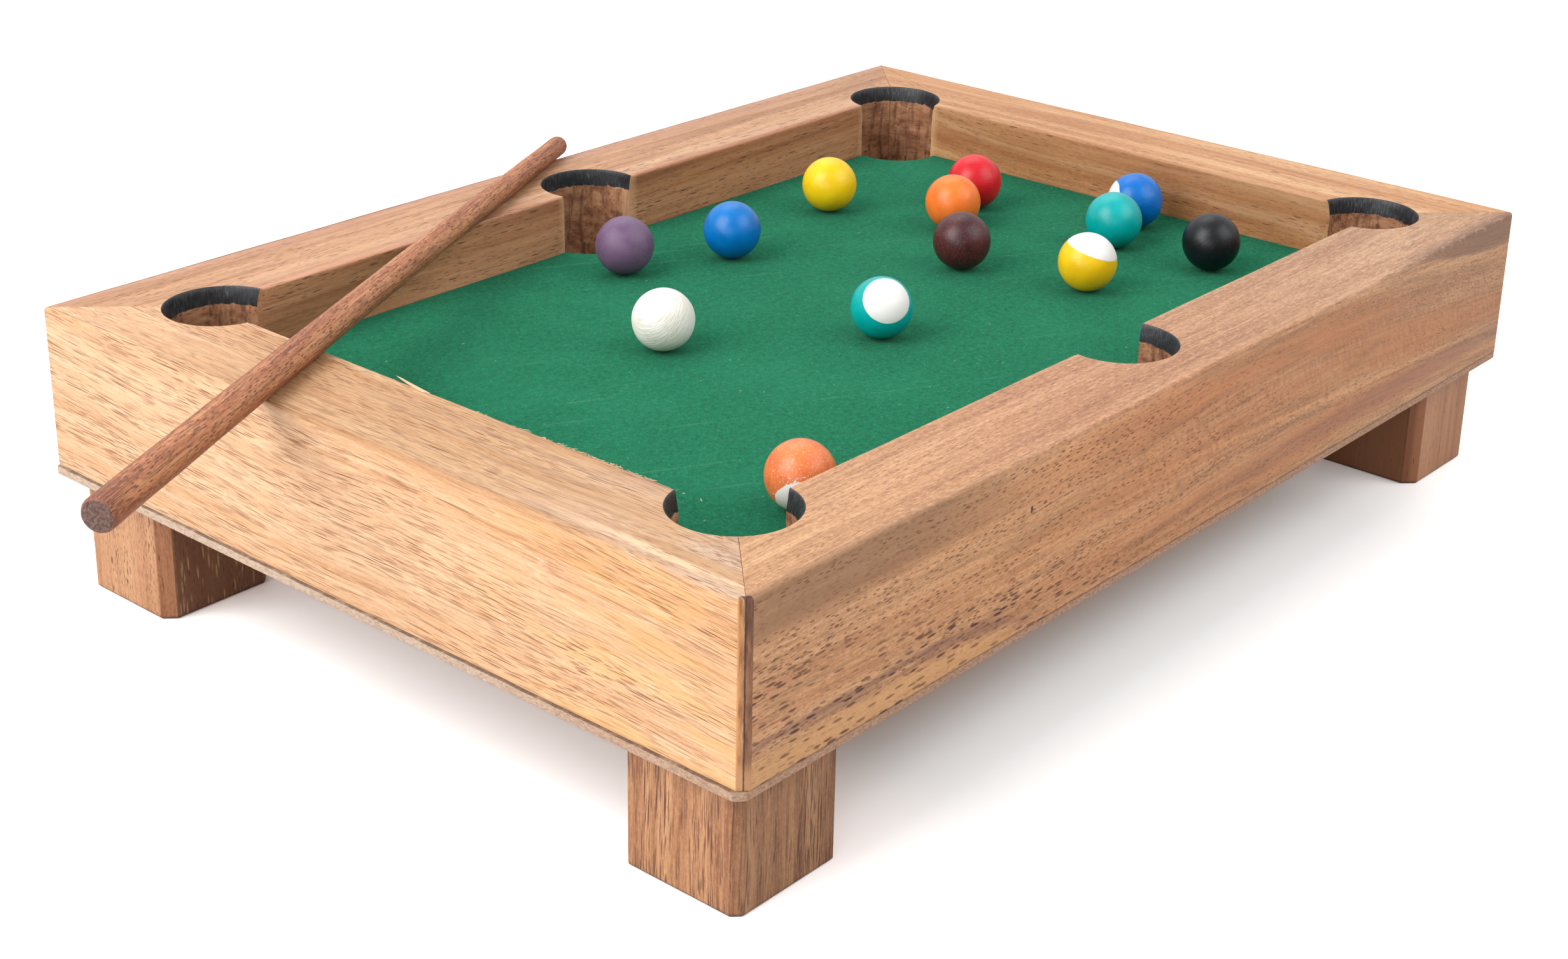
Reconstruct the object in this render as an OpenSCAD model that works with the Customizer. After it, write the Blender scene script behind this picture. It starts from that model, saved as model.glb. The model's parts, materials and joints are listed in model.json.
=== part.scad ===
// Tabletop pool table: a mitred hardwood rail frame on a thin base board and four block legs,
// with a felt-covered deck let into it, six bored pockets, thirteen wooden balls and a cue.
// X runs along the long rails, Y across them and Z up.
// The origin is on the ground under the centre of the table.

/* [Frame] */
// length of the rail frame
table_l = 305; // [290:1:340]
// width of the rail frame
table_w = 213.5; // [208:0.5:240]
// width of a rail, seen from above
rail_w = 26; // [25:0.5:28]
// height of a rail
rail_h = 39; // [37:0.5:44]
// flat on the long upper edges of a rail
edge_ease = 0.8; // [0.4:0.1:1.2]
// flat on the upright front corner of the frame
corner_ease_near = 2; // [0.3:0.1:3]
// flat on the left corner
corner_ease_left = 0.5; // [0.3:0.1:3]
// flat on the right corner
corner_ease_right = 1; // [0.3:0.1:3]
// flat on the far corner
corner_ease_far = 0.5; // [0.3:0.1:3]
// thickness of the board under the rails
base_t = 2; // [1.6:0.1:3]
// how far the base board stays back from the outer faces
base_inset = 0.2; // [0:0.1:1]

/* [Legs] */
// side of a leg block
leg_w = 30; // [28:0.5:32]
// height of a leg block
leg_h = 28.5; // [26:0.5:34]
// how far the legs stand back from the outer faces
leg_inset = 4.2; // [3.5:0.1:5]
// flat on the upright edges of a leg
leg_ease = 1.6; // [1:0.1:3]

/* [Playing surface] */
// drop from the rail tops to the cloth
cloth_drop = 15.2; // [15.2:0.1:17]
// thickness of the cloth
cloth_t = 1; // [0.8:0.1:1.2]
// thickness of the deck board under the cloth
deck_t = 5; // [4:0.5:6]
// width of the strips that carry the deck
cleat_w = 8; // [6:0.5:10]
// gap around the deck and the cloth
deck_gap = 0.2; // [0.1:0.1:0.5]

/* [Pockets] */
// diameter of a pocket bore
pocket_d = 24.6; // [23:0.2:25]
// how much wider than the bore the mouth is, each side
flare_w = 1; // [0.6:0.1:1.2]
// depth of the flared mouth
flare_h = 4; // [3:0.5:5]
// how far a corner pocket's centre lies inside the two inner faces
corner_pocket_in = 3.1; // [2:0.1:4]
// how far a side pocket's centre lies behind the inner face
side_pocket_out = 3.1; // [2:0.1:4]
// flat on the upright edges where a bore breaks through an inner face
mouth_ease = 1.3; // [0.8:0.1:1.6]

/* [Balls at rest] */
// diameter of a ball
ball_d = 15.1; // [14:0.1:15.1]
// plain yellow ball
yellow_at = [62.8, 53.4]; // [-100:0.1:100]
// plain blue ball
blue_at = [14.7, 46.3]; // [-100:0.1:100]
// plain purple ball
purple_at = [-13.7, 57.7]; // [-100:0.1:100]
// cue ball
cue_ball_at = [-45.8, 13.6]; // [-100:0.1:100]
// two-tone teal ball
teal_two_at = [-3.7, -18.6]; // [-100:0.1:100]
// plain red ball
red_at = [93.2, 26]; // [-100:0.1:100]
// plain orange ball
orange_at = [74, 19]; // [-100:0.1:100]
// plain maroon ball
maroon_at = [49.5, -2.5]; // [-100:0.1:100]
// two-tone blue ball
blue_two_at = [110.2, -16.1]; // [-110:0.1:110]
// plain teal ball
teal_at = [91.7, -21.5]; // [-100:0.1:100]
// two-tone yellow ball
yellow_two_at = [58.4, -35.7]; // [-100:0.1:100]
// black ball
black_at = [94.3, -50.1]; // [-100:0.1:100]
// two-tone orange ball
orange_two_at = [-91.3, -67.9]; // [-100:0.1:100]

/* [Cue] */
// length of the cue
cue_l = 252; // [220:1:300]
// diameter at the butt
butt_d = 7.5; // [7:0.1:9]
// diameter at the tip
tip_d = 5.4; // [4.5:0.1:6]
// rounding of the tip
tip_round = 1.8; // [1:0.1:2]
// centre of the butt, seen from above
butt_at = [-212, -2.7]; // [-230:0.1:100]
// direction from butt to tip, counter-clockwise from +X
cue_angle = 26.4; // [20:0.1:32]

/* [Fasteners] */
// diameter of a leg screw
leg_screw_d = 4; // [3.5:0.1:4.5]
// length of a leg screw
leg_screw_l = 40; // [36:1:42]
// diameter of a base board screw
base_screw_d = 3; // [2.5:0.1:3.5]
// length of a base board screw under its head
base_screw_l = 14; // [10:1:16]
// diameter of a mitre dowel
dowel_d = 6; // [5:0.5:7]
// length of a mitre dowel
dowel_l = 20; // [16:1:22]

/* [Hidden] */
$fn = 72;

fit_gap = 0.05;
rest_gap = 0.02;
rail_z = leg_h + base_t;
top_z = rail_z + rail_h;
cloth_z = top_z - cloth_drop;
deck_z = cloth_z - cloth_t - deck_t;
in_x = table_l / 2 - rail_w;
in_y = table_w / 2 - rail_w;
bore_r = pocket_d / 2;
corner_x = in_x - corner_pocket_in;
corner_y = in_y - corner_pocket_in;
side_y = in_y + side_pocket_out;
corner_half = sqrt(pow(bore_r, 2) - pow(corner_pocket_in, 2));
side_half = sqrt(pow(bore_r, 2) - pow(side_pocket_out, 2));
pockets = [for (y = [-1, 1]) for (x = [-1, 0, 1])
           x == 0 ? [0, y * side_y] : [x * corner_x, y * corner_y]];
mouth_corners = concat(
    [for (x = [-1, 1]) for (y = [-1, 1]) [x * (corner_x - corner_half), y * in_y]],
    [for (x = [-1, 1]) for (y = [-1, 1]) [x * in_x, y * (corner_y - corner_half)]],
    [for (x = [-1, 1]) for (y = [-1, 1]) [x * side_half, y * in_y]]);
leg_x = table_l / 2 - leg_inset - leg_w / 2;
leg_y = table_w / 2 - leg_inset - leg_w / 2;
leg_screw_head_z = rail_z + 16 - leg_screw_l;
leg_screw_places = [for (x = [-1, 1]) for (y = [-1, 1]) for (s = [-1, 1])
                    [x * (leg_x + 3.25 + 5 * s), y * (leg_y + 3.25 - 5 * s)]];
base_screw_places = concat(
    [for (x = [-0.28, -0.125, 0.125, 0.28]) for (y = [-1, 1])
     [x * table_l, y * (table_w - rail_w) / 2]],
    [for (x = [-1, 1]) for (y = [-0.14, 0.14])
     [x * (table_l - rail_w) / 2, y * table_w]]);
mitre_mid = 0.6 * rail_w;
dowel_heights = [0.54 * rail_h, 0.79 * rail_h];
cue_slope = atan((butt_d - tip_d) / 2 / cue_l);

wood_top = [0.80, 0.60, 0.42];
wood_side = [0.74, 0.52, 0.33];
wood_dark = [0.55, 0.34, 0.22];
board = [0.52, 0.42, 0.33];
steel = [0.65, 0.65, 0.66];
green = [0.14, 0.49, 0.34];

// one straight rail along X, its outer face at y = 0 and its ends mitred; a and b are the
// corner flats at its -X and +X ends, of which it holds one half each
module mitred_bar(l, a, b) {
    plan = [[-l / 2 + a, 0], [l / 2 - b, 0], [l / 2 - b / 2, b / 2], [l / 2 - rail_w, rail_w],
            [-l / 2 + rail_w, rail_w], [-l / 2 + a / 2, a / 2]];
    section = [[0, 0], [rail_w, 0], [rail_w, rail_h - edge_ease],
               [rail_w - edge_ease, rail_h], [edge_ease, rail_h], [0, rail_h - edge_ease]];
    intersection() {
        linear_extrude(rail_h) polygon(plan);
        translate([-l / 2, 0, 0]) rotate([90, 0, 90]) linear_extrude(l) polygon(section);
    }
}

// every bore with its flared mouth, and the flats at the upright mouth edges
module pocket_cuts() {
    for (p = pockets) {
        translate([p[0], p[1], rail_z - 1]) cylinder(r = bore_r, h = rail_h + 2);
        translate([p[0], p[1], top_z - flare_h])
            cylinder(r1 = bore_r, r2 = bore_r + flare_w, h = flare_h);
        translate([p[0], p[1], top_z - 0.01]) cylinder(r = bore_r + flare_w, h = 1);
    }
    for (m = mouth_corners)
        translate([m[0], m[1], top_z]) rotate([0, 0, 45])
            cube([mouth_ease * sqrt(2), mouth_ease * sqrt(2), 2 * rail_h + 4], center = true);
}

// the two dowels of each mitre, grown by a gap when they cut their holes
module dowels(gap) {
    for (x = [-1, 1]) for (y = [-1, 1]) for (z = dowel_heights)
        translate([x * (in_x + mitre_mid), y * (in_y + mitre_mid), rail_z + z])
            rotate([0, 90, -45 * x * y])
                cylinder(r = dowel_d / 2 + gap, h = dowel_l + 2 * gap, center = true);
}

module screw_holes(places, z, r, h) {
    for (p = places) translate([p[0], p[1], z]) cylinder(r = r, h = h);
}

module rail_at(pos, turn, l, a, b) {
    color(wood_side) difference() {
        translate([pos[0], pos[1], rail_z]) rotate([0, 0, turn]) mitred_bar(l, a, b);
        pocket_cuts();
        dowels(fit_gap);
        screw_holes(leg_screw_places, rail_z - 1, leg_screw_d / 2 + fit_gap, 17.5);
        screw_holes(base_screw_places, rail_z - 1, base_screw_d / 2 + fit_gap,
                    base_screw_l - base_t + 1.5);
    }
}

module rail_long_near() {
    rail_at([0, -table_w / 2], 0, table_l, corner_ease_near, corner_ease_right);
}
module rail_long_far() {
    rail_at([0, table_w / 2], 180, table_l, corner_ease_far, corner_ease_left);
}
module rail_short_left() {
    rail_at([-table_l / 2, 0], -90, table_w, corner_ease_left, corner_ease_near);
}
module rail_short_right() {
    rail_at([table_l / 2, 0], 90, table_w, corner_ease_right, corner_ease_far);
}

// thin board that closes the frame from below and makes the pocket floors
module base_board() {
    n = corner_ease_near;
    l = corner_ease_left;
    r = corner_ease_right;
    f = corner_ease_far;
    x = table_l / 2 - base_inset;
    y = table_w / 2 - base_inset;
    color(board) difference() {
        translate([0, 0, leg_h]) linear_extrude(base_t)
            polygon([[-x + n, -y], [x - r, -y], [x, -y + r], [x, y - f],
                     [x - f, y], [-x + l, y], [-x, y - l], [-x, -y + n]]);
        screw_holes(leg_screw_places, leg_h - 1, leg_screw_d / 2 + 0.1, base_t + 2);
        screw_holes(base_screw_places, leg_h - 1, base_screw_d / 2 + 0.1, base_t + 2);
    }
}

// a flat sheet that fills the frame inside the rails, notched at every pocket
module notched_sheet(z, t, gap, r) {
    difference() {
        translate([-in_x + gap, -in_y + gap, z]) cube([2 * (in_x - gap), 2 * (in_y - gap), t]);
        for (p = pockets) translate([p[0], p[1], z - 1]) cylinder(r = r, h = t + 2);
    }
}

module deck_board() { color(board) notched_sheet(deck_z, deck_t, deck_gap, bore_r); }

module felt_cloth() {
    color(green) notched_sheet(cloth_z - cloth_t, cloth_t, deck_gap, bore_r + 0.2);
}

// strips on the base board that carry the deck between the pockets
module deck_cleats_long() {
    from = side_half + 4;
    to = corner_x - corner_half - 3;
    color(wood_side) for (x = [-1, 1]) for (y = [-1, 1])
        translate([x * (from + to) / 2 - (to - from) / 2,
                   y * (in_y - cleat_w / 2 - fit_gap) - cleat_w / 2, rail_z])
            cube([to - from, cleat_w, deck_z - rail_z]);
}

module deck_cleats_short() {
    half = corner_y - corner_half - 3;
    color(wood_side) for (x = [-1, 1])
        translate([x * (in_x - cleat_w / 2 - fit_gap) - cleat_w / 2, -half, rail_z])
            cube([cleat_w, 2 * half, deck_z - rail_z]);
}

// solid block with eased upright edges and two counterbored screw holes
module leg_at(x, y) {
    h = leg_w / 2;
    c = leg_ease;
    color(wood_dark) difference() {
        translate([x * leg_x, y * leg_y, 0]) linear_extrude(leg_h)
            polygon([[-h + c, -h], [h - c, -h], [h, -h + c], [h, h - c],
                     [h - c, h], [-h + c, h], [-h, h - c], [-h, -h + c]]);
        screw_holes(leg_screw_places, -1, leg_screw_d / 2 + 0.1, leg_h + 2);
        screw_holes(leg_screw_places, -1, leg_screw_d + 0.1, leg_screw_head_z + 1.1);
        for (p = leg_screw_places) translate([p[0], p[1], leg_screw_head_z + 0.05])
            cylinder(r1 = leg_screw_d + 0.1, r2 = leg_screw_d / 2 + 0.1, h = leg_screw_d / 2);
    }
}

module leg_near() { leg_at(-1, -1); }
module leg_left() { leg_at(-1, 1); }
module leg_right() { leg_at(1, -1); }
module leg_far() { leg_at(1, 1); }

module mitre_dowels() { color(wood_top) dowels(0); }

module cross_recess(w, t, h) {
    for (a = [0, 90]) rotate([0, 0, a]) translate([0, 0, h / 2 - 0.5])
        cube([w, t, h + 1], center = true);
}

// countersunk screw driven upwards, its head face at z = 0
module countersunk_screw(d, l) {
    difference() {
        union() {
            cylinder(r1 = d, r2 = d / 2, h = d / 2);
            cylinder(r = d / 2, h = l - d / 2);
            translate([0, 0, l - d / 2]) cylinder(r1 = d / 2, r2 = 0.4, h = d / 2);
        }
        cross_recess(d, 0.8, 1.2);
    }
}

// pan-head screw driven upwards, the underside of its head at z = 0
module pan_screw(d, l) {
    difference() {
        union() {
            translate([0, 0, -0.6 * d]) cylinder(r1 = 0.7 * d, r2 = 0.95 * d, h = 0.25 * d);
            translate([0, 0, -0.35 * d]) cylinder(r = 0.95 * d, h = 0.35 * d);
            cylinder(r = d / 2, h = l - d / 2);
            translate([0, 0, l - d / 2]) cylinder(r1 = d / 2, r2 = 0.3, h = d / 2);
        }
        translate([0, 0, -0.6 * d]) cross_recess(0.9 * d, 0.6, 0.9);
    }
}

module leg_screws() {
    color(steel) for (p = leg_screw_places)
        translate([p[0], p[1], leg_screw_head_z]) countersunk_screw(leg_screw_d, leg_screw_l);
}

module base_screws() {
    color(steel) for (p = base_screw_places)
        translate([p[0], p[1], leg_h]) pan_screw(base_screw_d, base_screw_l);
}

module ball(at, paint) {
    color(paint) translate([at[0], at[1], cloth_z + ball_d / 2 + rest_gap]) sphere(d = ball_d);
}

module ball_cue() { ball(cue_ball_at, [0.93, 0.92, 0.87]); }
module ball_yellow() { ball(yellow_at, [0.93, 0.78, 0.13]); }
module ball_blue() { ball(blue_at, [0.05, 0.40, 0.75]); }
module ball_red() { ball(red_at, [0.80, 0.13, 0.17]); }
module ball_purple() { ball(purple_at, [0.42, 0.30, 0.42]); }
module ball_orange() { ball(orange_at, [0.92, 0.50, 0.20]); }
module ball_teal() { ball(teal_at, [0.05, 0.65, 0.62]); }
module ball_maroon() { ball(maroon_at, [0.30, 0.14, 0.17]); }
module ball_black() { ball(black_at, [0.08, 0.08, 0.10]); }
module ball_yellow_two_tone() { ball(yellow_two_at, [0.93, 0.75, 0.12]); }
module ball_blue_two_tone() { ball(blue_two_at, [0.15, 0.42, 0.80]); }
module ball_orange_two_tone() { ball(orange_two_at, [0.92, 0.47, 0.25]); }
module ball_teal_two_tone() { ball(teal_two_at, [0.05, 0.68, 0.66]); }

// tapered round stick lying across two rails, its lowest line level with their tops
module cue() {
    profile = concat([[0, 0], [butt_d / 2 - 0.4, 0], [butt_d / 2, 0.4]],
        [for (a = [0:15:90]) [tip_d / 2 - tip_round * (1 - cos(a)),
                              cue_l - tip_round * (1 - sin(a))]],
        [[0, cue_l]]);
    color(wood_dark)
        translate([butt_at[0], butt_at[1], top_z + butt_d / 2 * cos(cue_slope) + rest_gap])
            rotate([0, 0, cue_angle]) rotate([0, 90 + cue_slope, 0])
                rotate_extrude() polygon(profile);
}

rail_long_near();
rail_long_far();
rail_short_left();
rail_short_right();
base_board();
deck_board();
felt_cloth();
deck_cleats_long();
deck_cleats_short();
leg_near();
leg_left();
leg_right();
leg_far();
mitre_dowels();
leg_screws();
base_screws();
ball_cue();
ball_yellow();
ball_blue();
ball_red();
ball_purple();
ball_orange();
ball_teal();
ball_maroon();
ball_black();
ball_yellow_two_tone();
ball_blue_two_tone();
ball_orange_two_tone();
ball_teal_two_tone();
cue();
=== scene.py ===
import json
import math
import random

import bpy
import numpy as np
from mathutils import Matrix, Vector, geometry, noise


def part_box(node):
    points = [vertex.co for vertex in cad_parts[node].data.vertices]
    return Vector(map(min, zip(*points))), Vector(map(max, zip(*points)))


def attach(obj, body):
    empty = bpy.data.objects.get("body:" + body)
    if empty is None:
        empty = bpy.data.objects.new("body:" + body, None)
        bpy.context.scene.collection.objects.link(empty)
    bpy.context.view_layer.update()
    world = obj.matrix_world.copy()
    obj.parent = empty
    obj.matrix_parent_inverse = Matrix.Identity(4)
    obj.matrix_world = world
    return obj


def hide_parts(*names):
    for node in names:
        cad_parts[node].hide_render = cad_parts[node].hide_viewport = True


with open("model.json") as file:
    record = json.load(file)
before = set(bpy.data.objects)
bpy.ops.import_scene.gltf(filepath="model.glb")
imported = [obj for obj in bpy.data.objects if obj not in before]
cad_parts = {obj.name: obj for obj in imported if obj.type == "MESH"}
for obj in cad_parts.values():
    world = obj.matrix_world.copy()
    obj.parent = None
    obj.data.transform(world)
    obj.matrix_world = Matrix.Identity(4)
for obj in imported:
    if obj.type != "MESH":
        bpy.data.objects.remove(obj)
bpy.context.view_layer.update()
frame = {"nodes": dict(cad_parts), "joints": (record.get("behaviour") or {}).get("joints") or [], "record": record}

MM = 0.001


# ---------------------------------------------------------------- sizes, read from the frame
def mm_box(node):
    lo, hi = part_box(node)
    return np.array(lo) / MM, np.array(hi) / MM


long_lo, long_hi = mm_box("rail_long_near")
HALF_X, HALF_Y = -long_lo[0], -long_lo[1]
RAIL_W = long_hi[1] - long_lo[1]
RAIL_Z = long_lo[2]
RAIL_H = long_hi[2] - RAIL_Z
felt_lo, felt_hi = mm_box("felt_cloth")
POCKETS = {}
for o in frame["record"]["physics"]["openings"]:
    lo, hi = (np.array(c) / MM for c in o["box_m"])
    POCKETS[o["name"][len("pocket_"):]] = (lo + hi) / 2
CORNER_IN = HALF_X - RAIL_W - POCKETS["far"][0]
SIDE_OUT = POCKETS["far_side"][1] - (HALF_Y - RAIL_W)

BORE_R = 12.3          # pocket bore
FLARE_H = 4.3          # height of the black flared mouth
# how much wider than the bore each mouth is at the rail top; they differ, being hand routed
FLARES = {"near": 1.25, "left": 1.05, "right": 1.05, "far": 1.1, "far_side": 0.75, "near_side": 1.05}
MOUTH_L, MOUTH_D = 3.0, 0.65   # relief of the inner face beside each bore, made by sanding: length, depth
STRIPS = {"far_side": 3.0, "far": 1.6}   # pale strip of bore wall inside these mouths
# upright outer corners: size, and whether rounded or left as a flat
CORNERS = {"near": (2.0, False), "left": (0.55, True), "right": (1.7, True), "far": (0.8, True)}
EDGE_R = 0.85          # rounding of the long upper edges


# ---------------------------------------------------------------- small mesh helpers
def fbm(x, y=0.0, z=0.0, octaves=2):
    """Smooth noise in about -1..1."""
    return noise.fractal(Vector((x, y, z)), 1.0, 2.0, octaves, noise_basis="PERLIN_ORIGINAL")


def linked(name, data):
    ob = bpy.data.objects.new(name, data)
    bpy.context.scene.collection.objects.link(ob)
    return ob


def new_object(name, verts, faces, mats, face_mat, attrs, smooth_deg=38, body="table",
               weighted=True):
    """A mesh piece from points in millimetres, with its materials and its point attributes. It rides on a
    body and stands for the CAD node of the same name."""
    me = bpy.data.meshes.new(name)
    me.from_pydata([tuple(v * MM for v in p) for p in verts], [], faces)
    for m in mats:
        me.materials.append(m)
    if face_mat is not None:
        me.polygons.foreach_set("material_index", face_mat)
    me.polygons.foreach_set("use_smooth", [True] * len(me.polygons))
    me.update()
    me.set_sharp_from_angle(angle=math.radians(smooth_deg))
    for key, values in attrs.items():
        a = me.attributes.new(key, "FLOAT_VECTOR", "POINT")
        a.data.foreach_set("vector", np.asarray(values, np.float32).ravel())
    ob = linked(name, me)
    if weighted:
        w = ob.modifiers.new("weighted", "WEIGHTED_NORMAL")
        w.mode, w.weight, w.keep_sharp = "FACE_AREA", 60, True
    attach(ob, body)
    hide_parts(name)
    return ob


def stitch(loops, caps=True):
    """Faces between closed loops of equal length, first loop on top, wound outwards, and the two end caps."""
    n = len(loops[0])
    verts = [p for lp in loops for p in lp]
    faces = []
    for k in range(len(loops) - 1):
        a, b = k * n, (k + 1) * n
        faces += [(a + i, b + i, b + (i + 1) % n, a + (i + 1) % n) for i in range(n)]
    if caps:
        last = (len(loops) - 1) * n
        faces.append(tuple(range(n)))
        faces.append(tuple(last + i for i in reversed(range(n))))
    return verts, faces


# ---------------------------------------------------------------- node helpers
LIGHT = 1.45   # how much brighter than a plain white card the studio light makes things look


def linear(c):
    """Three values are a colour as it looks under the studio light, 0..255; all else is left as it is."""
    if not isinstance(c, tuple) or len(c) != 3:
        return c
    flat = [v / 255 / 12.92 if v <= 10 else ((v / 255 + 0.055) / 1.055) ** 2.4 for v in c]
    return tuple(v / LIGHT for v in flat) + (1.0,)


class Value:
    """A node's output that takes plain arithmetic; with a tuple it is arithmetic on vectors."""

    def __init__(self, m, socket):
        self.m, self.socket = m, socket

    def op(self, op, a, b):
        return self.m.node("VectorMath" if isinstance(b, tuple) else "Math", 0, {0: a, 1: b}, operation=op)

    def __mul__(self, k):
        return self.op("MULTIPLY", self, k)

    def __add__(self, k):
        return self.op("ADD", self, k)

    def __sub__(self, k):
        return self.op("SUBTRACT", self, k)

    def __rsub__(self, k):
        return self.op("SUBTRACT", k, self)

    def __abs__(self):
        return self.m.math("ABSOLUTE", self)


class Nodes:
    """Short calls to add nodes to a node tree."""

    def __init__(self, tree):
        self.tree = tree

    def put(self, socket, value):
        if isinstance(value, Value):
            self.tree.links.new(value.socket, socket)
        else:
            socket.default_value = value

    def add(self, kind, inputs, **props):
        n = self.tree.nodes.new("ShaderNode" + kind)
        for k, v in props.items():
            setattr(n, k, v)
        for k, v in inputs.items():
            self.put(n.inputs[k], v)
        return n

    def node(self, kind, out, inputs, **props):
        return Value(self, self.add(kind, inputs, **props).outputs[out])

    def attr(self, name):
        return self.node("Attribute", "Vector", {}, attribute_name=name)

    def obj(self):
        """Place on the object, in millimetres."""
        return self.node("TexCoord", "Object", {}) * (1 / MM, 1 / MM, 1 / MM)

    def shift(self, a, b):
        return self.node("VectorMath", 0, {0: a, 1: b}, operation="ADD")

    def length(self, a):
        return self.node("VectorMath", "Value", {0: a}, operation="LENGTH")

    def dot(self, a, b):
        return self.node("VectorMath", "Value", {0: a, 1: b}, operation="DOT_PRODUCT")

    def xyz(self, v):
        return [Value(self, out) for out in self.add("SeparateXYZ", {0: v}).outputs]

    def join(self, x, y, z):
        return self.node("CombineXYZ", 0, {0: x, 1: y, 2: z})

    def math(self, op, a, b=0.0):
        return self.node("Math", 0, {0: a, 1: b}, operation=op)

    def noise(self, v, scale=1.0, detail=2.0, rough=0.5, distort=0.0):
        """scale: one for all axes, one along the grain and one across it, or three."""
        if isinstance(scale, tuple):
            v, scale = v * (*scale, scale[-1])[:3], 1.0
        return self.node("TexNoise", "Fac", {"Vector": v, "Scale": scale, "Detail": detail,
                                             "Roughness": rough, "Distortion": distort})

    def cells(self, v, scale):
        return self.node("TexVoronoi", "Distance", {"Vector": v * (*scale, scale[-1])[:3], "Scale": 1.0})

    def ease(self, x, lo, hi, *ends):
        """Smooth step of x between lo and hi: from 0 to 1, from 0 to the one end given, or between two."""
        a, b = (0.0, *ends)[-2:] if ends else (0.0, 1.0)
        return self.node("MapRange", "Result", {"Value": x, "From Min": lo, "From Max": hi, "To Min": a,
                                                "To Max": b}, interpolation_type="SMOOTHSTEP")

    def mix(self, f, a, b, mode="MIX"):
        return self.node("Mix", 2, {0: f, 6: linear(a), 7: linear(b)}, data_type="RGBA", blend_type=mode,
                         clamp_factor=True)

    def ramp(self, f, stops):
        n = self.add("ValToRGB", {0: f})
        e = n.color_ramp.elements
        while len(e) < len(stops):
            e.new(0.5)
        for el, (pos, col) in zip(e, stops):
            el.position, el.color = pos, linear(col)
        return Value(self, n.outputs[0])


class Mat(Nodes):
    """A material with one Principled shader; colour is what its coats have made of it so far."""

    def __init__(self, name):
        self.mat = bpy.data.materials.new(name)
        self.mat.use_nodes = True
        super().__init__(self.mat.node_tree)
        self.tree.nodes.clear()
        self.bsdf = self.add("BsdfPrincipled", {})
        self.put(self.add("OutputMaterial", {}).inputs[0], Value(self, self.bsdf.outputs[0]))

    def coat(self, f, colour, mode="MIX"):
        self.colour = self.mix(f, self.colour, colour, mode)

    def finish(self, rough, height, bump_mm, strength=0.8, **more):
        """Sets the shader's inputs; height is the relief, bump_mm how deep it is."""
        bump = {"Height": height, "Distance": bump_mm * MM, "Strength": strength}
        more.update(Base_Color=self.colour, Roughness=rough, Normal=self.node("Bump", 0, bump))
        for k, v in more.items():
            self.put(self.bsdf.inputs[k.replace("_", " ")], v)
        return self.mat


# ---------------------------------------------------------------- wood
def grain_space(m):
    """The grain attribute (millimetres, x along the grain) and the same bent a little, as real grain is."""
    p = m.attr("grain")
    w1 = m.noise(p, (0.011, 0.022), 2.0)
    w2 = m.noise(p + (57.0, 31.0, 11.0), (0.011, 0.022), 2.0)
    bend = m.join(0.0, w1 * 6.0 - 3.0, w2 * 6.0 - 3.0)
    return p, m.shift(p, bend)


def pores(m, q, long_, wide, size):
    """Long thin vessel marks: 1 inside, 0 outside."""
    d = m.cells(q, (1 / long_, 1 / wide))
    return m.ease(d, size - 0.08, size + 0.08, 1.0, 0.0)


def vein_lines(m, q, often):
    """Thin lines along the grain, broken here and there: 1 on a line. often: lines per millimetre, about."""
    n = m.noise(q + (8.0, 1.0, 4.0), (0.014, often), 2.0, 0.5)
    line = m.ease(abs(n - 0.5), 0.008, 0.036, 1.0, 0.0)
    gaps = m.noise(q, (0.16, 1.3), 2.0, 0.5)
    return line * m.ease(gaps, 0.40, 0.56)


def even(m, p, q, dense):
    return dense, dense * 0.8


def inclined(m, p, q, dense):
    return dense * 0.8 + 0.12, dense * 0.8


def plain(m, p, q):
    pass


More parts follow.
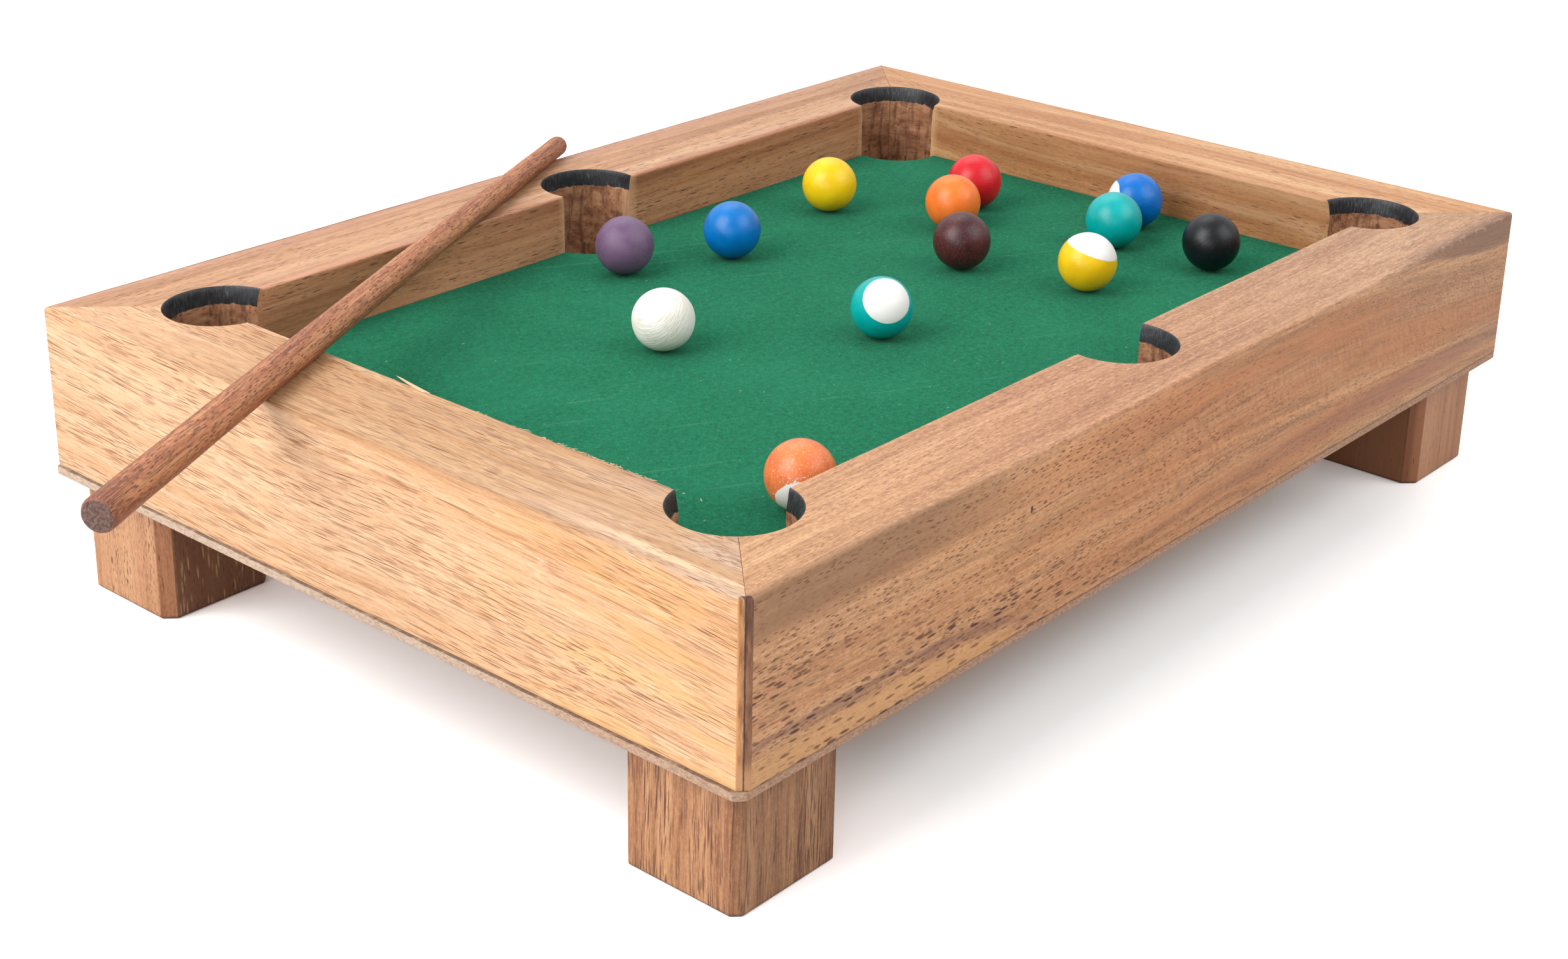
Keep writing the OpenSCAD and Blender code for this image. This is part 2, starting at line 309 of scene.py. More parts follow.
def wood(name, tones, dark, light, pore_big, pore_small, band, ring, big, small, rings, lines, hairs,
         glints=0.25, grit=0.2, weights=even, extra=plain, bottom_shade=0.14, veins=(0.6, 0.0)):
    """Open-pored hardwood. tones: three base colours; dark, light: dense and pale lines; band, ring: their
    widths; big, small: vessel marks as (cell length, cell width, share); weights: how strong each vessel size
    is; extra: adds marks of its own; bottom_shade: depth of the painted shade at the foot, where the piece
    meets the board or the floor; veins: (lines per mm, strength)."""
    m = Mat(name)
    p, q = grain_space(m)
    broad = m.noise(q, (0.0045, 1 / band), 3.0, 0.55)
    m.colour = m.ramp(broad, [(0.34, tones[0]), (0.5, tones[1]), (0.64, tones[2])])
    year = m.noise(q, (0.007, 1 / ring), 4.0, 0.62)
    m.coat(m.ease(year, 0.50, 0.68, rings), dark)
    m.coat(m.ease(year, 0.47, 0.33, glints), light)
    line = m.noise(q + (5.0, 3.0, 9.0), (0.022, 1.9), 3.0, 0.65)
    m.coat(m.ease(line, 0.50, 0.70, lines), dark)
    hair = m.noise(q, (0.09, 3.0), 3.0, 0.65)
    m.coat(m.ease(hair, 0.46, 0.70, hairs), dark)
    fine = m.noise(q, (0.9, 2.2), 3.0, 0.7)
    m.coat(m.ease(fine, 0.50, 0.68, grit), dark)
    m.coat(m.ease(fine, 0.48, 0.30, grit), light)
    m.coat(vein_lines(m, q, veins[0]) * veins[1], pore_small)
    # vessels lie denser in some bands than in others
    dense = m.ease(m.noise(q, (0.010, 0.17), 3.0), 0.38, 0.60, 0.2, 1.0)
    place = m.attr("place")
    w_big, w_small = weights(m, place, q, dense)
    mark_big = pores(m, q, *big) * w_big
    mark_small = pores(m, q + (3.0, 7.0, 5.0), *small) * w_small
    extra(m, place, q)
    m.coat(mark_small, pore_small)
    m.coat(mark_big, pore_big)
    # paler wood at the mouths of the bores; painted shade at the foot, in the joint with the board or the floor
    pale_strip = m.xyz(m.attr("depth"))[2]
    m.coat(pale_strip * 0.5, light)
    z = m.noise(p, 0.3, 3.0) * -bottom_shade + m.xyz(place)[2]
    m.coat(m.ease(z, bottom_shade * 0.8, -bottom_shade * 0.4, 0.75), (58, 34, 24))
    marks = m.math("MAXIMUM", mark_big, mark_small)
    height = hair * 0.3 - marks
    return m.finish(marks * 0.25 + hair * 0.14 + 0.43, height, 0.06, IOR=1.4)


def end_grain(name, a, b, dots, stretch):
    """Cut end of the wood: streaked and pitted. stretch: streak frequencies along the grain's three axes."""
    m = Mat(name)
    p = m.attr("grain")
    patch = m.noise(p, stretch, 4.0, 0.7)
    m.colour = m.ramp(patch, [(0.38, a), (0.60, b)])
    mark = m.ease(m.cells(p, (2.2, 2.2, 1.1)), 0.08, 0.26, 1.0, 0.0)
    m.coat(mark * 0.6, dots)
    return m.finish(0.68, patch - mark, 0.10, IOR=1.4)


def corner_flat(name):
    """Planed-off upright corner: tan on the short rail's half, brown on the long rail's, pale at the foot."""
    m = Mat(name)
    p = m.attr("grain")
    x, y, z = m.xyz(m.attr("place"))
    patch = m.noise(p, (0.6, 1.2, 0.16), 4.0, 0.7)
    tan = m.ramp(patch, [(0.36, (146, 96, 60)), (0.62, (200, 146, 98))])
    brown = m.ramp(patch, [(0.36, (94, 58, 40)), (0.62, (152, 104, 72))])
    tan = m.mix(m.ease(y, 0.30, 0.10, 0.8), tan, (224, 156, 88))
    brown = m.mix(m.ease(z, 27.0, 35.0, 0.6), brown, (70, 38, 32))
    m.colour = m.mix(m.ease(x, -1.0, 1.0), brown, tan)
    m.coat(m.ease(z, 8.0, 2.0, 0.75), (194, 144, 100))
    joint = y + m.noise(p, 0.8, 2.0) * 0.2
    m.coat(m.ease(joint, 0.92, 1.06, 0.8), (58, 32, 26))
    return m.finish(0.6, patch, 0.10, IOR=1.4)


def pocket_wall(name):
    """Bare reddish bored wood, black stained flare above it. depth attribute: mm below the rail top, mm
    round the bore, share of the pale strip."""
    m = Mat(name)
    p, q = grain_space(m)
    depth, around, strip = m.xyz(m.attr("depth"))
    tone = m.noise(q, (0.05, 0.4), 4.0, 0.65)
    m.colour = m.ramp(tone, [(0.34, (120, 72, 46)), (0.5, (168, 112, 76)), (0.66, (200, 148, 108))])
    upright = m.noise(m.join(around * 0.55, depth * 0.07, 0.0), 1.0, 4.0, 0.7)
    m.coat(m.ease(upright, 0.48, 0.66, 0.75), (82, 44, 30))
    mark = pores(m, q, 4.0, 0.9, 0.26)
    m.coat(mark * 0.6, (64, 36, 25))
    # faint pale ring about 14 mm below the rail top
    ring_at = depth + m.noise(p, 0.25) * 0.8
    ring_line = m.ease(abs(ring_at - 14.2), 0.1, 0.35, 1.0, 0.0)
    m.coat(ring_line * m.ease(upright, 0.4, 0.6, 0.3, 0.0), (204, 160, 128))
    pale_strip = m.mix(m.ease(upright, 0.45, 0.65, 0.7), (196, 148, 110), (138, 92, 64))
    rim = m.noise(p, 0.3, 3.0) * 0.3 + strip
    m.coat(m.ease(rim, 0.12, 0.28), pale_strip)
    edge = m.noise(p, (0.45, 0.45, 0.2), 3.0, 0.6) * 1.6 + (FLARE_H - 0.9)
    black = m.ease(depth - edge, -0.12, 0.15, 1.0, 0.0)
    brush = m.noise(m.join(around * 3.2, depth * 0.35, 0.0), 1.0, 4.0, 0.75)
    patch = m.noise(m.join(around * 0.16, depth * 0.2, 3.0), 1.0, 2.0)
    stain = m.ramp(brush, [(0.35, (16, 16, 18)), (0.52, (35, 36, 40)), (0.72, (96, 99, 106))])
    stain = m.mix(m.ease(patch, 0.40, 0.65, 0.6), stain, (24, 24, 28))
    m.coat(black, stain)
    r = 0.7 - black * (brush * -0.3 + 0.46)
    h = upright * 0.5 + brush * 0.6
    return m.finish(r, h, 0.22, IOR=1.45)


def short_left_marks(m, p, q):
    """A warm patch near the front corner, long pale lines, and a top painted darker, greyer and pinker as shade.
    """
    x, y, z = m.xyz(p)
    warm = m.ease(m.noise(q, (0.03, 0.16), 3.0), 0.42, 0.60) * m.ease(x, 20.0, 80.0)
    m.coat(warm * 0.5, (228, 170, 102))
    pale = abs(m.noise(q, (0.012, 0.22), 1.0) - 0.5)
    m.coat(m.ease(pale, 0.0, 0.012, 0.35, 0.0), (236, 208, 168))
    # painted shade: the top is painted darker than the faces, less so towards the far end, and greyer near the
    # front corner
    top = m.ease(z, RAIL_H - 1.4, RAIL_H - 0.1) * m.ease(x, -110.0, 0.0, 0.2, 1.0)
    shade = m.mix(m.ease(x, 25.0, 75.0), (0.76, 0.72, 0.62, 1.0), (0.72, 0.76, 0.86, 1.0))
    m.coat(top, shade, "MULTIPLY")
    cream = abs(x * 0.03 - 6.6 + y + m.noise(q, 0.1))
    cream = m.ease(cream, 0.4, 1.9, 1.0, 0.0) * top * m.ease(x, 45.0, 80.0, 0.75)
    m.coat(cream, (238, 198, 160))
    streak = m.noise(q, (0.02, 0.7), 3.0, 0.6)
    m.coat(m.ease(streak, 0.5, 0.66) * top * 0.45, (150, 112, 88))


def long_near_weights(m, p, q, dense):
    """Coarse vessels low on the face towards the near corner, fine stipple elsewhere."""
    x, y, z = m.xyz(p)
    face = m.ease(y, 2.5, 0.6)
    low = m.ease(z + x * 0.14, 9.0, -4.0)
    near = low * face * m.ease(x, 5.0, -60.0)
    w_big = near * (dense * 0.5 + 0.5)
    top = m.ease(z, RAIL_H - 2.0, RAIL_H - 0.5, 1.0, 0.55)
    w_small = dense * top * m.ease(x, -20.0, 60.0, 0.85, 0.45)
    return w_big, w_small


def long_near_marks(m, p, q):
    """Dense purple-brown streak low on the face, grey band under the top edge, orange bands, a small knot."""
    x, y, z = m.xyz(p)
    face = m.ease(y, 2.5, 0.6)
    # orange middle, more so to the right
    mid = m.ease(m.noise(q, (0.006, 0.11), 2.0), 0.40, 0.62) * face
    m.coat(mid * m.ease(x, -120.0, 40.0, 0.15, 0.6), (206, 132, 78))
    olive = abs(m.noise(q, (0.007, 0.15), 2.0) - 0.5)
    m.coat(m.ease(olive, 0.0, 0.03, 0.28, 0.0) * face, (126, 92, 58))
    wob = m.noise(p, (0.05, 0.02, 0.35), 3.0, 0.65)
    low = m.ease(x, -95.0, -50.0, 8.0, 1.5)
    d = abs(z - (low + wob * 7.0 - 3.5))
    streak = m.ease(d, 0.1, 2.2, 1.0, 0.0) * face * m.ease(x, -50.0, -80.0)
    m.coat(streak * 0.6, (120, 78, 66))
    under = face * m.ease(z + wob, 28.0, 31.5) * m.ease(x, -50.0, -110.0)
    m.coat(under * 0.72, (144, 102, 68))
    bright = abs(z - (x * -0.069 + wob * 3.0 + 16.9))
    m.coat(m.ease(bright, 0.2, 0.9, 0.5, 0.0) * face * m.ease(x, -40.0, 20.0), (238, 176, 118))
    pale = face * m.ease(z - low, -1.5, -4.5)
    m.coat(pale * m.ease(x, 20.0, -60.0, 0.6), (216, 162, 106))
    # small knot with fine rings round it
    knot = m.length((p - (67.0, 0.0, 26.0)) * (0.20, 0.05, 0.45))
    wave = m.math("SINE", knot * 15.0 + m.noise(p, 0.6, 3.0) * 14.0)
    near = m.ease(knot, 2.6, 0.3) * face
    m.coat(m.ease(wave, 0.2, 0.9) * near * 0.5, (160, 92, 52))
    spot = m.length((p - (-65.0, 0.0, 27.1)) * (1.5, 0.2, 0.8))
    m.coat(m.ease(spot + m.noise(p, 2.0), 1.25, 0.95), (66, 44, 42))
    wedge = z - m.ease(x, 85.0, 148.0, 38.0, 31.0)
    corner = m.ease(x, 85.0, 115.0) * m.ease(wob * 2.0 + wedge, 0.8, 2.0)
    m.coat(corner * m.ease(y, 4.0, 1.0, 0.75), (132, 92, 70))
    # figure: short ripples across the grain
    ripple = m.noise(m.join(z * 0.35 + x * 0.75, z * 0.22, 0.0), 1.0, 3.0, 0.6)
    zone = m.ease(x, -60.0, 0.0) * face * m.ease(z, 10.0, 15.0) * m.ease(z, 31.0, 26.0)
    m.coat(zone * m.ease(ripple, 0.5, 0.64, 0.3), (160, 98, 56))
    m.coat(zone * m.ease(ripple, 0.46, 0.34, 0.25), (232, 168, 112))
    rose = m.ease(x, -10.0, 60.0) * face * m.ease(z, 11.0, 8.0) * m.ease(z, 3.0, 6.0)
    m.coat(rose * 0.45, (150, 98, 82))
    # the tone drifts along the rail: on the face, and differently on the top, whose far end is painted greyer as
    # sheen
    far = x * (1 / 300) + 0.5
    tone = m.ramp(far, [(0.08, (0.96, 0.95, 0.93, 1)), (0.25, (0.98, 0.935, 0.85, 1)),
                        (0.42, (0.92, 0.81, 0.71, 1)), (0.7, (0.855, 0.80, 0.745, 1)),
                        (0.95, (0.826, 0.817, 0.80, 1))])
    # painted sheen: the top turns greyer towards its far end
    tone_and_sheen_top = m.ramp(far, [(0.08, (0.87, 0.89, 0.88, 1)), (0.36, (0.75, 0.69, 0.71, 1)),
                            (0.85, (0.77, 0.84, 0.98, 1))])
    top = m.ease(z, RAIL_H - 1.6, RAIL_H - 0.3)
    m.coat(1.0, m.mix(top, tone, tone_and_sheen_top), "MULTIPLY")
    # pale flecks across the grain on the top, and darker dashes past the side pocket
    fleck = m.noise(m.join(y * 0.5 + x * 0.42, y * 1.1, 4.0), 1.0, 3.0, 0.6)
    lit = top * m.ease(x + y, -112.0, -104.0)
    m.coat(lit * m.ease(fleck, 0.50, 0.66, 0.28), (232, 178, 140))
    m.coat(lit * m.ease(fleck, 0.46, 0.32, 0.22), (158, 104, 72))
    dash = pores(m, q + (1.0, 2.0, 3.0), 5.5, 0.7, 0.28) * top
    some = m.ease(m.noise(q, (0.03, 0.15), 2.0), 0.42, 0.6) * m.ease(x, -60.0, 40.0, 0.25, 1.0)
    m.coat(dash * some * 0.6, (140, 92, 70))


def long_far_marks(m, p, q):
    """The inner face, which lies in shade, is painted darker and redder than the top: painted shade."""
    x, y, z = m.xyz(p)
    shade = m.mix(m.ease(x, -20.0, 60.0), (0.84, 0.68, 0.60, 1.0), (1.04, 0.91, 0.88, 1.0))
    wave = m.noise(q, (0.02, 0.2), 3.0) * 8.0
    edges = m.math("MAXIMUM", m.ease(y + wave, 10.5, 7.0), m.ease(y + wave, 22.5, 26.0, 0.6))
    edges = edges * m.ease(z, RAIL_H - 1.4, RAIL_H - 0.2)
    m.coat(edges * 0.5, (188, 138, 114))
    # painted shade on the inner face, strongest at low x
    m.coat(m.ease(y, RAIL_W - 2.0, RAIL_W - 0.8), shade, "MULTIPLY")


def short_right_marks(m, p, q):
    """Darker and redder in the upper part of the inner face."""
    _, y, z = m.xyz(p)
    up = m.ease(m.noise(q, (0.02, 0.2), 3.0) * 10.0 + z, 30.0, 35.0)
    inner = up * m.ease(y, RAIL_W - 2.0, RAIL_W - 0.8)
    m.coat(inner * 0.35, (150, 90, 56))


wood_short_left = wood(
    "wood_pale_tan", ((212, 160, 114), (223, 177, 135), (232, 191, 151)), (178, 122, 78), (244, 212, 176),
    (126, 74, 42), (140, 86, 50), band=5.0, ring=0.9, big=(15.0, 0.40, 0.25), small=(8.0, 0.30, 0.28),
    rings=0.18, lines=0.24, hairs=0.30, glints=0.14, veins=(0.6, 0.5), weights=inclined,
    extra=short_left_marks)
# the near long rail gets a deeper band of painted shade at its foot
wood_long_near = wood(
    "wood_golden_brown", ((190, 134, 92), (209, 155, 108), (222, 169, 122)), (142, 90, 56), (240, 194, 146),
    (80, 42, 34), (108, 64, 44), band=4.5, ring=1.1, big=(5.0, 1.05, 0.29), small=(2.4, 0.55, 0.28),
    rings=0.36, lines=0.40, hairs=0.42, grit=0.46, veins=(0.6, 0.22), bottom_shade=0.5, weights=long_near_weights,
    extra=long_near_marks)
wood_long_far = wood(
    "wood_tan_brown", ((168, 120, 84), (196, 146, 106), (214, 170, 130)), (136, 86, 56), (224, 182, 142),
    (104, 62, 40), (126, 80, 54), band=6.0, ring=1.8, big=(9.0, 0.9, 0.17), small=(4.0, 0.5, 0.22),
    rings=0.42, lines=0.45, hairs=0.3, extra=long_far_marks)
wood_short_right = wood(
    "wood_orange_brown", ((180, 120, 74), (203, 149, 101), (219, 173, 127)), (150, 92, 52), (232, 190, 142),
    (110, 64, 40), (138, 86, 54), band=5.0, ring=1.5, big=(9.0, 0.9, 0.15), small=(4.0, 0.5, 0.22),
    rings=0.4, lines=0.4, hairs=0.3, glints=0.3, grit=0.25, extra=short_right_marks)
wood_end = corner_flat("wood_end_grain")
wall_mat = pocket_wall("pocket_wall")


# ---------------------------------------------------------------- rails
def flare(name, depth):
    """Radius that the flared mouth adds at a depth below the rail top: convex, tangent to the bore."""
    t = max(0.0, 1 - depth / FLARE_H)
    return FLARES[name] * (0.45 * t + 0.55 * (1 - math.sqrt(max(0.0, 1 - t * t))))


# depths below the rail top at which its outline is drawn, closer together near the edges
DEPTHS = [0.0, 0.05, 0.16, 0.34, 0.6, 0.95, 1.4, 2.0, 2.7, 3.5, FLARE_H]
DEPTHS += [*np.linspace(5.2, RAIL_H - 0.5, 22), RAIL_H - 0.22, RAIL_H - 0.07, RAIL_H]


def round_off(d, r):
    """Inset of a quarter round of radius r at distance d from the edge."""
    return 0.0 if d >= r else r - math.sqrt(max(0.0, r * r - (r - d) ** 2))


def torn_edge(u, depth):
    """How far fibres stand out along the inner top edge of the left rail."""
    zone = max(0.0, min(1.0, (u - 4) / 20.0, (70 - u) / 10.0))
    return zone * 0.16 * fbm(u * 1.7, 3.0, 5.0, 3) * max(0.0, 1 - depth / 1.2)


def rail_loop(half, seed, pockets, depth, torn):
    """One level of a rail's outline, in its own frame: u along it, v from the outer face.
    Returns (u, v, kind of surface, place round the bore, share of the pale strip)."""
    up = RAIL_H - depth
    pts = []

    def ease(u, which):
        """Inset by the rounded edges, outer (1) or inner (2); the inner edge is crisper."""
        r = EDGE_R * (1 + 0.35 * fbm(u * 0.045, which * 9.1, seed)) * (0.65 if which == 2 else 1.0)
        return round_off(depth, max(0.3, r)) + round_off(up, 0.14)

    def inner_at(u):
        return RAIL_W - ease(u, 2) + (torn_edge(u, depth) if torn else 0.0)

    name_r, name_l, name_s = pockets
    seam = 0.02 + round_off(depth, 0.10) + round_off(up, 0.10)
    s7 = math.sqrt(0.5)

    def corner(name, side):
        """Half of an upright corner, from the outer face to the mitre."""
        c, rounded = CORNERS[name]
        e = ease(side * half, 1)
        if rounded:
            big = max(c, e + 0.02)
            turns = [math.radians(t) for t in (-90, -78, -66, -55, -45)]
            out = [(half - big + (big - e) * math.cos(t), big + (big - e) * math.sin(t)) for t in turns]
        else:
            out = [(half - c - e * 0.41, e), (half - c * 0.75 - e * s7, c * 0.25 + e * s7),
                   (half - c / 2 - e * s7, c / 2 + e * s7)]
        u, v = out[-1]
        out[-1] = (u - seam * s7, v - seam * s7)
        return [(side * u, v, "outer" if rounded else "flat", 0.0, 0.0) for u, v in out], out[0][0]

    right_pts, u_right = corner(name_r, 1)
    left_pts, u_left = corner(name_l, -1)
    n = int(2 * half / 2.2)
    for i in range(1, n):
        u = -u_left + (u_right + u_left) * i / n
        pts.append((u, ease(u, 1), "outer", 0.0, 0.0))
    pts += right_pts

    def bore_points(cx, cv, name, a0, a1, count, lips):
        """Arc of bore wall; lips are the angles at which it meets a mouth."""
        r = BORE_R + flare(name, depth)
        out = []
        for i in range(count):
            a = a0 + (a1 - a0) * i / (count - 1)
            rough = 0.10 * fbm(cx * 0.1 + math.cos(a) * 7, math.sin(a) * 7, depth * 0.55 + seed, 3)
            rough *= min(1.0, depth / 1.5 + 0.25)
            rr = r + rough
            near = min(abs(a - b) for b in lips) * BORE_R
            strip = 0.9 * max(0.0, 1 - near / STRIPS[name]) if name in STRIPS else 0.0
            out.append((cx + rr * math.cos(a), cv + rr * math.sin(a), "bore", a * BORE_R, strip))
        return out

    def relief(s, tc):
        """Depth of the sanded relief at distance s along the inner face from the pocket centre."""
        full = math.sqrt(BORE_R ** 2 - tc ** 2)
        x = min(1.0, max(0.0, (full + MOUTH_L - s) / MOUTH_L))
        return MOUTH_D * x ** 1.4

    def lip(name, tc):
        """Where the bore meets the relieved face at this level: (s, t)."""
        r = BORE_R + flare(name, depth)
        s = math.sqrt(r * r - tc * tc)
        for _ in range(6):
            s = math.sqrt(max(1.0, r * r - (relief(s, tc) - tc) ** 2))
        return s, relief(s, tc)

    def mouth_points(cx, sign, tc, name):
        """The relieved inner face beside a bore, from the bore to the plain face."""
        s0, _ = lip(name, tc)
        s1 = math.sqrt(BORE_R ** 2 - tc ** 2) + MOUTH_L
        out = []
        for i in range(1, 6):
            s = s0 + (max(s1, s0 + 0.1) - s0) * i / 5
            u = cx + sign * s
            pale_strip = (1.0 - 0.2 * i) * (name in STRIPS)
            out.append((u, inner_at(u) - relief(s, tc), "mouth", 0.0, pale_strip))
        return out

    bu, bv = half - RAIL_W - CORNER_IN, RAIL_W + CORNER_IN
    tc = -CORNER_IN

    def corner_pocket(name, side):
        """A corner pocket's wall and mouth, from the mitre inwards."""
        s, t = lip(name, tc)
        mouth = math.atan2(-(CORNER_IN + t), s)
        if side > 0:
            mouth = -math.pi - mouth
        gap = (seam + 0.02) / (BORE_R + flare(name, depth))
        mitre = -math.pi / 2 + side * (math.pi / 4 - gap)
        wall = bore_points(side * bu, bv, name, mitre, mouth, 34, (mouth,))
        return wall + mouth_points(side * bu, -side, tc, name)

    pts += corner_pocket(name_r, 1)
    right_end = bu - math.sqrt(BORE_R ** 2 - tc ** 2) - MOUTH_L
    if name_s:
        side_s = math.sqrt(BORE_R ** 2 - SIDE_OUT ** 2) + MOUTH_L
        stretches = [(right_end, side_s), (-side_s, -right_end)]
    else:
        stretches = [(right_end, -right_end)]
    for k, (ua, ub) in enumerate(stretches):
        n = max(2, int((ua - ub) / (1.0 if torn else 2.2)))
        for i in range(1, n):
            u = ua + (ub - ua) * i / n
            pts.append((u, inner_at(u), "inner", 0.0, 0.0))
        if name_s and k == 0:
            pts += mouth_points(0.0, 1, SIDE_OUT, name_s)[::-1]
            s, t = lip(name_s, SIDE_OUT)
            a = math.atan2(SIDE_OUT - t, s)
            ends = (a, -math.pi - a)
            pts += bore_points(0.0, RAIL_W - SIDE_OUT, name_s, *ends, 60, ends)
            pts += mouth_points(0.0, -1, SIDE_OUT, name_s)
    return pts + corner_pocket(name_l, -1)[::-1] + left_pts[::-1]


def tapered(path, start):
    """Closed sliver through (point, half width, half thickness) sections, the last one a tip."""
    verts, faces = [], []
    for (u, v, z), w, t in path[:-1]:
        verts += [(u, v - w, z - t), (u, v + w, z - t), (u, v + w, z + t), (u, v - w, z + t)]
    verts.append(path[-1][0])
    n = len(path) - 1
    ahead = path[-1][0][0] > path[0][0][0]
    for k in range(n - 1):
        for i in range(4):
            a, b, c, d = 4 * k + i, 4 * k + (i + 1) % 4, 4 * k + 4 + (i + 1) % 4, 4 * k + 4 + i
            faces.append((a, b, c, d) if ahead else (d, c, b, a))
    for i in range(4):
        a, b, c = 4 * (n - 1) + i, 4 * (n - 1) + (i + 1) % 4, 4 * n
        faces.append((a, b, c) if ahead else (c, b, a))
    faces.append((3, 2, 1, 0) if ahead else (0, 1, 2, 3))
    return verts, [tuple(start + i for i in f) for f in faces]


def torn_fibres(start):
    """One lifted splinter and many short torn fibres on the inner top edge of the left rail."""
    verts, faces = [], []

    def add(path):
        v, f = tapered(path, start + len(verts))
        verts.extend(v)
        faces.extend(f)

    splinter = [(-5.0, -0.55, -0.30, 0.50, 0.20), (-8.5, -0.35, 0.02, 0.42, 0.14),
                (-12.0, -0.10, 0.32, 0.30, 0.10), (-14.5, 0.12, 0.58, 0.18, 0.07),
                (-16.2, 0.25, 0.72, 0.0, 0.0)]
    add([((u, RAIL_W + v, RAIL_H + z), w, t) for u, v, z, w, t in splinter])
    rng = random.Random(5)
    for i in range(95):
        u = rng.gauss(44, 10) if i % 3 else rng.uniform(8, 66)
        length, side = rng.uniform(0.5, 1.7), rng.choice((-1, 1))
        v, z = RAIL_W - rng.uniform(0.05, 0.5), RAIL_H - rng.uniform(0.08, 0.4)
        out, lift = rng.uniform(0.0, 0.5), rng.uniform(0.0, 0.45)
        w = rng.uniform(0.05, 0.12)
        middle = (u + side * length * 0.6, v + out * 0.7, z + lift * 0.6)
        tip = (u + side * length, v + out, z + lift)
        add([((u, v, z), w, w * 0.7), (middle, w * 0.8, w * 0.5), (tip, 0.0, 0.0)])
    return verts, faces


def build_rail(name, half, turn, place, pockets, mat, seed, torn, slot, tilt, sag):
    """A rail from its outlines; turn and place bring its own frame to its side of the table."""
    loops, depth_attr = [], []
    for d in DEPTHS:
        lp = rail_loop(half, seed, pockets, d, torn)
        kinds = [row[2] for row in lp]
        loops.append([(row[0], row[1], RAIL_H - d) for row in lp])
        depth_attr += [(d, row[3], row[4]) for row in lp]
    verts, faces = stitch(loops)
    n = len(kinds)
    face_mat = []
    for f in faces:
        a, b = kinds[f[0] % n], kinds[f[-1] % n]
        face_mat.append({"bore": 1, "flat": 2}.get(a, 0) if len(f) == 4 and a == b else 0)
    if torn:
        extra_v, extra_f = torn_fibres(len(verts))
        verts, faces = verts + extra_v, faces + extra_f
        face_mat += [0] * len(extra_f)
        depth_attr += [(0.3, 0.0, 1.0)] * len(extra_v)
    rot = Matrix.Rotation(math.radians(turn), 4, "Z")
    move = Matrix.Translation((place[0], place[1], RAIL_Z)) @ rot
    world = [move @ Vector(v) for v in verts]
    # the grain runs a little out of line with the rail, and sags towards one end
    grain = [(u, v, z + tilt * u + sag * max(0.0, u) ** 2) for u, v, z in verts]
    new_object(name, world, faces, [mat, wall_mat, wood_end], face_mat,
               {"grain": grain, "depth": depth_attr, "place": verts})


# name, half length, turn, place, its pockets right, left and at the side, wood, seed, torn, slot, grain
RAILS = [
    ("rail_long_near", HALF_X, 0, (0, -HALF_Y), ("right", "near", "near_side"), wood_long_near, 11, False,
     "rail_wood_brown", 0.0, 0.00033),
    ("rail_long_far", HALF_X, 180, (0, HALF_Y), ("left", "far", "far_side"), wood_long_far, 23, False,
     "rail_wood_tan", 0.015, 0.0),
    ("rail_short_left", HALF_Y, -90, (-HALF_X, 0), ("near", "left", None), wood_short_left, 37, True,
     "rail_wood_tan", 0.035, 0.0),
    ("rail_short_right", HALF_Y, 90, (HALF_X, 0), ("far", "right", None), wood_short_right, 41, False,
     "rail_wood_brown", -0.02, 0.0),
]
for row in RAILS:
    build_rail(*row)


# ---------------------------------------------------------------- base board
def block(name, outline, z0, z1, r_top, r_low, step, mat, spaces, seed, jag, rows_mid, holes=()):
    """A solid with a closed outline (counter-clockwise), rounded upper and lower edges, and round holes
    from below, each (centre, radius, depth). spaces: attributes, from a point; jag: how rough the
    sides are."""
    pts = []
    n = len(outline)
    for i in range(n):
        a, b = Vector(outline[i]), Vector(outline[(i + 1) % n])
        k = max(1, int((b - a).length / step))
        pts += [a.lerp(b, j / k) for j in range(k)]
    m = len(pts)
    normals = []
    for i in range(m):
        e1 = (pts[i] - pts[i - 1]).normalized()
        e2 = (pts[(i + 1) % m] - pts[i]).normalized()
        n1, n2 = Vector((-e1.y, e1.x)), Vector((-e2.y, e2.x))
        normals.append((n1 + n2) / (1 + n1.dot(n2)))
    h = z1 - z0
    f = [0.0, 0.08, 0.3, 0.62, 1.0]
    rows = [x * r_top for x in f]
    rows += [r_top + (h - r_top - r_low) * (i + 1) / (rows_mid + 1) for i in range(rows_mid)]
    rows += [h - x * r_low for x in reversed(f)]
    loops = []
    for d in rows:
        lp = []
        for i, (p, nn) in enumerate(zip(pts, normals)):
            e = round_off(d, r_top) + round_off(h - d, r_low)
            e += jag * abs(fbm(p.x * 0.9, p.y * 0.9, d * 1.1 + seed, 3))
            q = p + nn * e
            lp.append((q.x, q.y, z1 - d))
        loops.append(lp)
    verts, faces = stitch(loops, caps=not holes)
    if holes:
        seg = 28
        last = len(verts) - m
        faces.append(tuple(range(m)))
        rims = [list(range(last, last + m))]
        for (x, y), r, deep in holes:
            base = len(verts)
            turns = [2 * math.pi * k / seg for k in range(seg)]
            verts += [(x + r * math.cos(t), y + r * math.sin(t), z) for z in (z0, z0 + deep) for t in turns]
            rims.append(list(range(base, base + seg)))
            for k in range(base, base + seg):
                k2 = k + 1 if k + 1 < base + seg else base
                faces.append((k, k2, k2 + seg, k + seg))
            faces.append(tuple(reversed(range(base + seg, base + 2 * seg))))
        index = sum(rims, [])
        for t in geometry.tessellate_polygon([[Vector(verts[i]) for i in rim] for rim in rims]):
            ids = [index[k] for k in t]
            a, b, c = (Vector(verts[i]) for i in ids)
            faces.append(tuple(ids if (b - a).cross(c - a).z < 0 else ids[::-1]))
    attrs = {key: [space(v) for v in verts] for key, space in spaces.items()}
    new_object(name, verts, faces, [mat], None, attrs)


